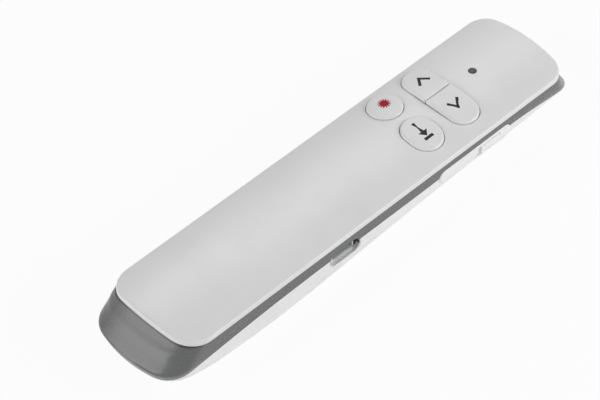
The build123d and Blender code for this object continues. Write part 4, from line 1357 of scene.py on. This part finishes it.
@dataclass
class Case(Assembly):
    """Grey frame and white lower shell, cut from one form along the parting line."""

    band_rows: int = 22
    shell_rows: int = 26
    inner_rows: int = 7
    solid_rows: int = 20
    edge: float = 0.14
    edge_steps: int = 4
    seam: float = 0.04
    top_guess: float = 12.0
    parting_guess: float = 6.0
    hollow_top: float = 11.0
    core_top: float = 11.5
    land_inset: float = 0.06
    land_walls: int = 3
    supports_top: float = 8.05
    bay_x: float = 19.0
    bay_length: float = 22.4
    bay_width: float = 15.4
    bay_height: float = 6.0
    bay_wall: float = 1.2
    bay_corner: float = 1.6
    bay_mouth: tuple = ((-OVERCUT, 0.5), (0.0, 0.25), (0.1, 0.1), (0.25, 0.0))
    notch_width: float = 8.0
    notch_length: float = 4.0
    notch_height: float = 2.6
    notch_corner: float = 1.95
    screw_places: tuple = ((39.5, 9.4), (39.5, -9.4), (111.6, 7.35), (111.6, -7.35))
    boss_diameter: float = 5.6
    shank_hole: float = 2.3
    shank_steps: int = 32
    screw_recess: float = 4.2
    screw_recess_height: float = 2.6
    cradle_places: tuple = (121.0, 127.0)
    cradle_thickness: float = 1.2
    cradle_width: float = 9.0
    cradle_corner: float = 0.1
    cradle_steps: int = 2
    barrel_bore: float = 6.04
    bore_reach: float = 3.0

    def outer_rows(self, skin: Skin, top: Points, bottom: Points, count: int, low_edge: bool) -> list:
        """Rows of an outer skin with rounded edges.

        Args:
            skin: The outer skin.
            top: Height of the top edge for each column.
            bottom: Height of the bottom edge for each column.
            count: Number of rows between the edges.
            low_edge: Whether the bottom edge is rounded too.

        Returns:
            The rows, from the top down.
        """
        rows = []

        def add_row(z: Points, inset: float) -> None:
            """Keep one row of the skin at a height, set in by a margin."""
            rows.append(np.c_[skin.at(z) + inset * skin.inward(z), z])

        turns = np.linspace(0, QUARTER, self.edge_steps)
        for turn in turns:
            add_row(top - self.edge * (1 - math.cos(turn)), self.edge * (1 - math.sin(turn)))
        end = bottom + self.edge if low_edge else bottom
        for share in np.linspace(0, 1, count + 1)[1:]:
            run = share if low_edge else math.sin(share * QUARTER)
            add_row(top - self.edge + run * (end - top + self.edge), 0.0)
        if low_edge:
            for turn in turns[1:]:
                add_row(bottom + self.edge * (1 - math.sin(turn)), self.edge * (1 - math.cos(turn)))
        return rows

    def frame_ring(self, outer: Skin, inner: Skin) -> Piece:
        """Closed ring of the grey frame, before its openings are cut.

        Args:
            outer: The outer skin.
            inner: The inner skin.

        Returns:
            The piece.
        """
        top = outer.meets(lambda p: FORM.crown(p[:, 1]) - FORM.cover_thickness, self.top_guess)
        bottom = outer.meets(lambda p: FORM.parting(p[:, 0]), self.parting_guess)
        rows = self.outer_rows(outer, top, bottom, self.band_rows, True)
        for share in np.linspace(0, 1, self.inner_rows):
            z = bottom + share * (top - bottom)
            rows.append(np.c_[inner.at(z), z])
        faces = ring_faces(len(rows), len(rows[0]), wrap=True)
        return make_piece("frame_moulding", np.vstack(rows), faces)

    def skin_solid(self, name: str, rows: list) -> Piece:
        """Closed solid through rows of a skin, shut across at both ends.

        Args:
            name: Name of the solid.
            rows: The rows, one after another.

        Returns:
            The solid.
        """
        columns = len(rows[0])
        faces = ring_faces(len(rows), columns)
        faces += strip_faces(columns, 0) + strip_faces(columns, (len(rows) - 1) * columns)
        return make_piece(name, np.vstack(rows), faces)

    def plain_solid(self, name: str, skin: Skin, top: float) -> Piece:
        """Closed solid of a skin from one height down to its lowest level.

        Args:
            name: Name of the solid.
            skin: The skin.
            top: The height where it starts.

        Returns:
            The solid.
        """
        rows = []
        for share in np.linspace(0, 1, self.solid_rows):
            z = np.full(skin.loops.shape[1], top + math.sin(share * QUARTER) * (skin.heights[0] - top))
            rows.append(np.c_[skin.at(z), z])
        return self.skin_solid(name, rows)

    def supports(self) -> Piece:
        """Screw bosses, receiver bay and barrel cradles as they rise from the floor.

        Returns:
            The solids, merged into one object.
        """
        boss = circle(self.boss_diameter / 2)
        parts = [upright("boss", boss, x, y, -OVERCUT, self.supports_top) for x, y in self.screw_places]
        length, width = self.bay_length + 2 * self.bay_wall, self.bay_width + 2 * self.bay_wall
        bay = rounded_rectangle(length, width, self.bay_corner + self.bay_wall)
        parts.append(upright("bay", bay, self.bay_x, 0, -OVERCUT, self.bay_height + self.bay_wall))
        size = (self.cradle_thickness, self.cradle_width, self.cradle_corner)
        cradle = rounded_rectangle(*size, self.cradle_steps)
        top = FORM.at_z(OPENINGS.laser_depth)
        parts += [upright("cradle", cradle, x, 0, -OVERCUT, top) for x in self.cradle_places]
        return gather("supports", parts)

    def underside_cutters(self) -> list:
        """Two sets of cutters: the wide openings of the underside, then the narrow ones inside them.

        Returns:
            One object for each set.
        """
        bay = (self.bay_length, self.bay_width, self.bay_corner, self.bay_height, self.bay_x)
        notch_x = self.bay_x - self.bay_length / 2
        notch = (self.notch_length, self.notch_width, self.notch_corner, self.notch_height, notch_x)
        wide, narrow = [self.bay_cutter(*bay)], [self.bay_cutter(*notch)]
        recess, hole = circle(self.screw_recess / 2), circle(self.shank_hole / 2, self.shank_steps)
        for x, y in self.screw_places:
            wide.append(upright("recess", recess, x, y, -OVERCUT, self.screw_recess_height))
            narrow.append(upright("hole", hole, x, y, -2 * OVERCUT, FORM.body_height))
        loop, z = circle(self.barrel_bore / 2), FORM.at_z(OPENINGS.laser_depth)
        ends = (self.cradle_places[0] - self.bore_reach, self.cradle_places[1] + self.bore_reach)
        wide.append(stacked("bore", [nose_row(loop, FORM.at_x(x), 0, z) for x in ends]))
        return [gather("wide_openings", wide), gather("narrow_openings", narrow)]

    def bay_cutter(self, length: float, width: float, corner: float, height: float, x: float) -> Piece:
        """Cutter of a pocket in the underside, with a softened mouth.

        Args:
            length: Length of the pocket.
            width: Its width.
            corner: Radius of its corners.
            height: How far it reaches up.
            x: Distance of its middle along the cover.

        Returns:
            The cutter.
        """
        rows = []
        for z, grown in (*self.bay_mouth, (height, 0.0)):
            loop = rounded_rectangle(length + 2 * grown, width + 2 * grown, corner + grown)
            rows.append(flat_row(loop, FORM.at_x(x), 0, z))
        return stacked("pocket", rows)

    def shell_solid(self, outer: Skin, inner: Skin) -> Piece:
        """Lower shell with its land, supports and openings.

        Args:
            outer: The outer skin.
            inner: The inner skin.

        Returns:
            The piece.
        """
        top = outer.meets(lambda p: FORM.parting(p[:, 0]), self.parting_guess) - self.seam
        rows = self.outer_rows(outer, top, np.zeros(len(top)), self.shell_rows, False)
        shell = self.skin_solid("shell_moulding", rows)
        combine(shell, [self.plain_solid("hollow", inner, self.hollow_top)], Joining.CUT)
        core = self.plain_solid("core", Skin.of(FORM, FORM.wall / 2), self.core_top)
        combine(core, [self.supports()], Joining.KEEP)
        combine(shell, [core, OPENINGS.land(0.0, FORM.wall - self.land_inset)], Joining.ADD)
        cutters = self.underside_cutters()
        side = gather("side_recesses", [OPENINGS.usb_recess(), OPENINGS.slot(), OPENINGS.ring_hole()])
        behind = gather("side_pockets", [OPENINGS.usb_window(), OPENINGS.pocket()])
        return combine(shell, [*cutters, side, behind], Joining.CUT)

    def build(self) -> None:
        """Build the frame and the shell."""
        outer, inner = Skin.of(FORM, 0.0), Skin.of(FORM, FORM.wall)
        band = self.frame_ring(outer, inner)
        land = OPENINGS.land(OPENINGS.land_play, self.land_walls * FORM.wall)
        recesses = gather("band_recesses", [land, OPENINGS.usb_recess(), OPENINGS.ring_hole()])
        combine(band, [recesses, OPENINGS.usb_window()], Joining.CUT)
        clean_edges(band)
        self.settle(band, Body.CASE, "frame_grey", ("mid_frame",))
        # Below the parting line the liner wears the shell's white set darker, as painted shade in the recess.
        liner = self.settle(OPENINGS.socket_liner(), Body.CASE, "frame_grey", finish=SHADED_LINER_ABS)
        OPENINGS.line_above(liner)
        shell = self.shell_solid(outer, inner)
        clean_edges(shell)
        self.settle(shell, Body.CASE, "shell_white", ("bottom_shell",))


@dataclass
class SwitchKnob(Assembly):
    """Knob of the slide switch, with a flange that closes the slot from behind."""

    nose_x: float = 107.1
    length: float = 7.0
    height: float = 2.3
    rise: float = 0.15
    edge: float = 0.2
    edge_steps: int = 5
    corner: float = 0.45
    corner_steps: int = 6
    flange_corner: float = 0.3
    flange_reach: float = 0.7
    flange_gap: float = 0.04
    flange_thickness: float = 1.4
    tail_reach: float = 2.6

    def build(self) -> None:
        """Build the knob: its rounded face, its stem and the flange behind the wall."""
        z = FORM.at_z(OPENINGS.land_depth)
        x = FORM.at_x(self.nose_x - self.length / 2)
        front = OPENINGS.side_y - OPENINGS.land_rise - self.rise
        behind = OPENINGS.side_y + OPENINGS.slot_wall + self.flange_gap
        rows = []
        for turn in np.linspace(0, QUARTER, self.edge_steps):
            inset = self.edge * (1 - math.sin(turn))
            size = (self.length - 2 * inset, self.height - 2 * inset, self.corner - inset)
            loop = rounded_rectangle(*size, self.corner_steps)
            rows.append(side_row(loop, x, front + self.edge * (1 - math.cos(turn)), z))
        stem = rows[-1].copy()
        stem[:, 1] = behind
        length = self.length + self.flange_reach + self.tail_reach
        height = self.height + 2 * self.flange_reach
        flange = rounded_rectangle(length, height, self.flange_corner, self.corner_steps)
        middle = x - (self.tail_reach - self.flange_reach) / 2
        rows += [stem, *[side_row(flange, middle, behind + y, z) for y in (0.0, self.flange_thickness)]]
        self.settle(stacked("switch_knob", rows), Body.POWER, "shell_white", ("power_slider",))


@dataclass
class KeyPad(Assembly):
    """The four keys and the openings that they stand in."""

    rise: float = 0.599
    edge: float = 0.55
    gap: float = 0.17
    depth: float = 2.2
    pair_x: float = 101.5
    pair_y: float = 1.0
    pair_width: float = 9.0
    pair_length: float = 23.3
    pair_corner: float = 4.2
    seam_y: float = 1.95
    seam_gap: float = 0.14
    seam_corner: float = 0.25
    least_corner: float = 0.05
    laser_x: float = 88.8
    laser_y: float = 8.05
    laser_diameter: float = 9.35
    tab_x: float = 88.65
    tab_y: float = -4.95
    tab_width: float = 9.25
    tab_length: float = 11.6
    spacing: float = 0.7
    edge_steps: int = 7
    pair_steps: int = 12
    half_steps: int = 10
    laser_steps: int = 72
    tab_steps: int = 30

    def face(self, points: Points) -> Points:
        """Height of the keys' faces."""
        return FORM.crown(points[:, 1]) + self.rise

    def pair_loop(self, grown: float) -> Points:
        """Shared outline of the previous and next keys, grown by a margin."""
        size = (self.pair_width + 2 * grown, self.pair_length + 2 * grown, self.pair_corner + grown)
        return rounded_rectangle(*size, self.pair_steps) + [FORM.at_x(self.pair_x), self.pair_y]

    def laser_loop(self, grown: float) -> Points:
        """Outline of the round laser key, grown by a margin."""
        place = [FORM.at_x(self.laser_x), self.laser_y]
        return circle(self.laser_diameter / 2 + grown, self.laser_steps) + place

    def tab_loop(self, grown: float) -> Points:
        """Outline of the oval key, grown by a margin."""
        loop = pill(self.tab_length + 2 * grown, self.tab_width + 2 * grown, self.tab_steps)
        return loop[:, ::-1] * [-1, 1] + [FORM.at_x(self.tab_x), self.tab_y]

    def half_loop(self, side: int, inset: float) -> Points:
        """Outline of one key of the pair.

        Args:
            side: 1 for the previous key, on the +Y side of the seam, or -1 for the next key.
            inset: How far the outline is set in.

        Returns:
            The outline's points.
        """
        x = FORM.at_x(self.pair_x)
        near = self.seam_y + side * (self.seam_gap / 2 + inset)
        far = self.pair_y + side * (self.pair_length / 2 - inset)
        half = self.pair_width / 2 - inset
        wide, small = self.pair_corner - inset, max(self.seam_corner - inset / 2, self.least_corner)
        radii = (wide, wide, small, small) if side > 0 else (small, small, wide, wide)
        low, high = (x - half, min(near, far)), (x + half, max(near, far))
        return four_corners(low, high, radii, self.half_steps)

    def openings(self) -> list:
        """Outline functions of the openings in the cover."""
        loops = (self.pair_loop, self.laser_loop, self.tab_loop)
        return [lambda grown, loop=loop: loop(self.gap + grown) for loop in loops]

    def cap(self, name: str, outline: Callable) -> Piece:
        """One key cap with a rounded crest, from its outline function."""
        return Plate(outline, self.face, self.depth, self.edge, self.spacing, self.edge_steps).make(name)

    def build(self) -> None:
        """Build the four key caps."""
        keys = (
            ("previous_cap", lambda inset: self.half_loop(1, inset), Body.PREVIOUS, "previous_key"),
            ("next_cap", lambda inset: self.half_loop(-1, inset), Body.NEXT, "next_key"),
            ("laser_cap", lambda inset: self.laser_loop(-inset), Body.LASER, "laser_key"),
            ("tab_cap", lambda inset: self.tab_loop(-inset), Body.TAB, "tab_key"),
        )
        for name, outline, body, node in keys:
            self.settle(self.cap(name, outline), body, "key_white", (node,))


KEYS = KeyPad()


@dataclass
class TopCover(Assembly):
    """Crowned cover with the openings for the keys and the lamp."""

    edge: float = 0.45
    hole_edge: float = 0.1
    lamp_x: float = 113.5
    lamp_y: float = 1.25
    lamp_hole: float = 2.3
    lamp_steps: int = 40
    pipe_play: float = 0.02
    pipe_sink: float = 0.12
    pipe_dome: float = 0.2
    pipe_dome_share: float = 0.96
    pipe_dome_steps: int = 7
    pipe_length: float = 3.0
    spacing: float = 1.6

    def lamp_loop(self, grown: float) -> Points:
        """Outline of the lamp's hole, grown by a margin."""
        place = [FORM.at_x(self.lamp_x), self.lamp_y]
        return circle(self.lamp_hole / 2 + grown, self.lamp_steps) + place

    def light_pipe(self) -> Piece:
        """Domed end of the light pipe in its hole, on a straight stem.

        Returns:
            The piece.
        """
        x, top = FORM.at_x(self.lamp_x), FORM.crown(self.lamp_y) - self.pipe_sink
        radius = self.lamp_hole / 2 - self.pipe_play
        rows = [flat_row(circle(radius, self.lamp_steps), x, self.lamp_y, top - self.pipe_length)]
        for turn in np.linspace(0, self.pipe_dome_share * QUARTER, self.pipe_dome_steps):
            loop = circle(radius * math.cos(turn), self.lamp_steps)
            rows.append(flat_row(loop, x, self.lamp_y, top - self.pipe_dome * (1 - math.sin(turn))))
        return stacked("light_pipe_end", rows)

    def build(self) -> None:
        """Build the cover."""
        plate = Plate(
            FORM.cover_loop,
            lambda points: FORM.crown(points[:, 1]),
            FORM.cover_thickness,
            self.edge,
            self.spacing,
            holes=(*KEYS.openings(), self.lamp_loop),
            hole_edge=self.hole_edge,
        )
        cover = plate.make("cover_moulding")
        self.settle(cover, Body.CASE, "cover_white", ("top_cover",))
        self.settle(self.light_pipe(), Body.CASE, "pipe_smoke", ("light_pipe",))


def stroke(path: tuple, width: float) -> Points:
    """Outline of a line of even width with square ends and mitred bends.

    Args:
        path: Points of the line.
        width: Its width.

    Returns:
        The outline's points.
    """
    points = np.array(path, float)
    runs = np.diff(points, axis=0)
    runs /= np.linalg.norm(runs, axis=1)[:, None]
    normals = np.c_[-runs[:, 1], runs[:, 0]]
    offsets = [normals[0]]
    for before, after in zip(normals, normals[1:]):
        joint = before + after
        offsets.append(joint * 2 / (joint**2).sum())
    offsets.append(normals[-1])
    shift = np.array(offsets) * width / 2
    return np.vstack([points + shift, (points - shift)[::-1]])


@dataclass
class KeySigns(Assembly):
    """Signs printed on the keys: two chevrons, a red burst and an arrow to a bar."""

    ink: float = 0.01
    line: float = 0.8
    spacing: float = 0.5
    edge_steps: int = 1
    previous_path: tuple = ((103.65, 6.6), (101.7, 8.75), (99.95, 6.55))
    next_path: tuple = ((99.9, -2.75), (101.35, -5.25), (103.45, -2.75))
    burst_x: float = 89.3
    burst_y: float = 8.8
    burst_radius: float = 1.45
    burst_point: float = 0.4
    burst_points: int = 13
    point_steps: int = 10
    arrow_x: float = 88.85
    arrow_ends: tuple = (-1.4, -6.55)
    arrow_head: float = 1.7
    arrow_half: float = 1.45
    arrow_line: float = 0.85
    bar_y: float = -7.15

    def burst(self) -> Points:
        """Outline of the burst: a disc with short rounded rays.

        Returns:
            The outline's points.
        """
        turns = np.linspace(0, 2 * math.pi, self.burst_points * self.point_steps, endpoint=False)
        radius = self.burst_radius + self.burst_point * np.cos(turns * self.burst_points)
        return radius[:, None] * np.c_[np.cos(turns), np.sin(turns)] + (self.burst_x, self.burst_y)

    def arrow(self) -> Points:
        """Outline of the arrow on the oval key.

        Returns:
            The outline's points.
        """
        tail, tip = self.arrow_ends
        neck, half = tip + self.arrow_head, self.arrow_line / 2
        side = ((half, tail), (half, neck), (self.arrow_half, neck))
        points = [*side, (0.0, tip), *[(-x, y) for x, y in reversed(side)]]
        return np.array(points) + (self.arrow_x, 0.0)

    def pad(self, name: str, loop: Points) -> Piece:
        """Print one area, a thin layer of ink that follows the key's face.

        Args:
            name: Name of the piece.
            loop: Outline of the area, from the cover's tail.

        Returns:
            The piece.
        """
        placed = loop + (FORM.at_x(0.0), 0.0)

        def face(points: Points) -> Points:
            """Height of the ink's face."""
            return KEYS.face(points) + self.ink

        plate = Plate(lambda inset: placed, face, 2 * self.ink, self.ink, self.spacing, self.edge_steps)
        return plate.make(name)

    def build(self) -> None:
        """Print every sign on its key."""
        bar = tuple((self.arrow_x + x, self.bar_y) for x in (self.arrow_half, -self.arrow_half))
        signs = (
            ("previous_sign", stroke(self.previous_path, self.line), Body.PREVIOUS, BLACK_INK),
            ("next_sign", stroke(self.next_path, self.line), Body.NEXT, BLACK_INK),
            ("laser_sign", self.burst(), Body.LASER, RED_INK),
            ("tab_arrow_sign", self.arrow(), Body.TAB, BLACK_INK),
            ("tab_bar_sign", stroke(bar, self.arrow_line), Body.TAB, BLACK_INK),
        )
        for name, loop, body, ink in signs:
            self.settle(self.pad(name, loop), body, "key_white", finish=ink)


@dataclass
class Hardware(Assembly):
    """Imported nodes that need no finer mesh, each in the finish of its slot."""

    def build(self) -> None:
        """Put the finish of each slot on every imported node."""
        for name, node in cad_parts.items():
            for socket in node.material_slots:
                socket.material = PALETTE.of_slot(socket.material.name.split(".")[0])
                log.info("%s wears %s", name, socket.material.name)


@dataclass
class Studio:
    """Camera, lamps, floor and world of the picture."""

    target_distance: float = 56.451
    to_camera: tuple = (-0.4759, -0.4796, 0.7372)
    distance: float = 672.05
    focal_pixels: float = 2770.6
    picture_width: int = 600
    sensor_width: float = 36.0
    axis_offset: tuple = (15.5, -9.7)
    floor_size: float = 3000.0
    floor_tones: tuple = ("#f2f2f2", "#f5f5f5")
    floor_grain: float = 6.0
    floor_glow: float = 0.93
    world_level: float = 0.2
    clip_range: tuple = (0.01, 20.0)
    lamps: tuple = (
        ("back_softbox", (500, 520, 800), (500, 300), 1.5),
        ("nose_softbox", (830, 260, 310), (1000, 560), 1.4),
        ("side_softbox", (540, -720, 330), (900, 640), 3.5),
        ("edge_softbox", (452, -677, 433), (700, 140), 2.3),
        ("tail_softbox", (-869, 233, 330), (1000, 640), 5.8),
    )

    def camera(self) -> None:
        """Set the camera at the photograph's viewing angle."""
        data = bpy.data.cameras.new("picture_camera")
        data.sensor_width = self.sensor_width
        data.lens = self.focal_pixels * self.sensor_width / self.picture_width
        data.shift_x = -self.axis_offset[0] / self.picture_width
        data.shift_y = self.axis_offset[1] / self.picture_width
        data.clip_start, data.clip_end = self.clip_range
        camera = bpy.data.objects.new("picture_camera", data)
        bpy.context.scene.collection.objects.link(camera)
        back = Vector(self.to_camera).normalized()
        target = Vector((FORM.at_x(self.target_distance), 0.0, FORM.body_height))
        camera.location = (target + back * self.distance) * MM
        camera.rotation_euler = (-back).to_track_quat("-Z", "Y").to_euler()
        bpy.context.scene.camera = camera

    def lamp(self, name: str, place: tuple, size: tuple, power: float) -> None:
        """Hang one soft lamp, which faces the pointer.

        Args:
            name: Name of the lamp.
            place: Where it hangs, in millimetres.
            size: Its width and length, in millimetres.
            power: Its power in watts.
        """
        data = bpy.data.lights.new(name, "AREA")
        data.shape = "RECTANGLE"
        data.size, data.size_y = size[0] * MM, size[1] * MM
        data.energy = power
        lamp = bpy.data.objects.new(name, data)
        bpy.context.scene.collection.objects.link(lamp)
        lamp.location = Vector(place) * MM
        lamp.rotation_euler = (-Vector(place)).to_track_quat("-Z", "Y").to_euler()

    def world(self) -> None:
        """Light the room evenly, and show it as white to the camera, to gloss and through glass."""
        world = bpy.data.worlds.new("studio")
        world.use_nodes = True
        tree = world.node_tree
        tree.nodes.clear()
        values = {"To Min": self.world_level, "To Max": 1.0}
        level = add_node(tree, "ShaderNodeMapRange", values, {"Value": seen_straight(tree)})
        sky = add_node(tree, "ShaderNodeBackground", {"Color": WHITE}, {"Strength": level.outputs["Result"]})
        add_node(tree, "ShaderNodeOutputWorld", links={"Surface": sky.outputs["Background"]})
        bpy.context.scene.world = world

    def floor(self) -> None:
        """Lay the plain pale floor, which keeps the pointer's shadow."""
        half = self.floor_size / 2
        corners = np.array([(-half, -half, 0), (half, -half, 0), (half, half, 0), (-half, half, 0)])
        floor = make_piece("floor", corners, [[0, 1, 2, 3]])
        material, tree = new_material("pale_paper")
        links = {"Vector": add_node(tree, "ShaderNodeTexCoord").outputs["Object"]}
        grain = add_node(tree, "ShaderNodeTexNoise", {"Scale": 1 / (self.floor_grain * MM)}, links)
        stops = tuple(zip((TONE_START, TONE_END), self.floor_tones))
        tones = add_node(tree, "ShaderNodeValToRGB", links={"Fac": grain.outputs["Fac"]}, stops=stops)
        paper = add_node(tree, "ShaderNodeBsdfDiffuse", links={"Color": tones.outputs["Color"]})
        glow = add_node(tree, "ShaderNodeEmission", {"Color": WHITE})
        values = {"To Min": 0.0, "To Max": self.floor_glow}
        share = add_node(tree, "ShaderNodeMapRange", values, {"Value": seen_straight(tree)})
        links = {0: share.outputs["Result"], 1: paper.outputs["BSDF"], 2: glow.outputs["Emission"]}
        shown = add_node(tree, "ShaderNodeMixShader", links=links)
        add_node(tree, "ShaderNodeOutputMaterial", links={"Surface": shown.outputs["Shader"]})
        dress(floor, material)

    def build(self) -> None:
        """Set up the whole studio."""
        self.camera()
        self.world()
        self.floor()
        for lamp in self.lamps:
            self.lamp(*lamp)
        bpy.context.scene.view_settings.view_transform = "Standard"


def main() -> None:
    """Build the studio and every sub-assembly in order."""
    logging.basicConfig(level=logging.INFO, format="%(message)s")
    Studio().build()
    for assembly in (Hardware(), Case(), SwitchKnob(), TopCover(), KEYS, KeySigns()):
        assembly.build()


if __name__ == "__main__":
    main()
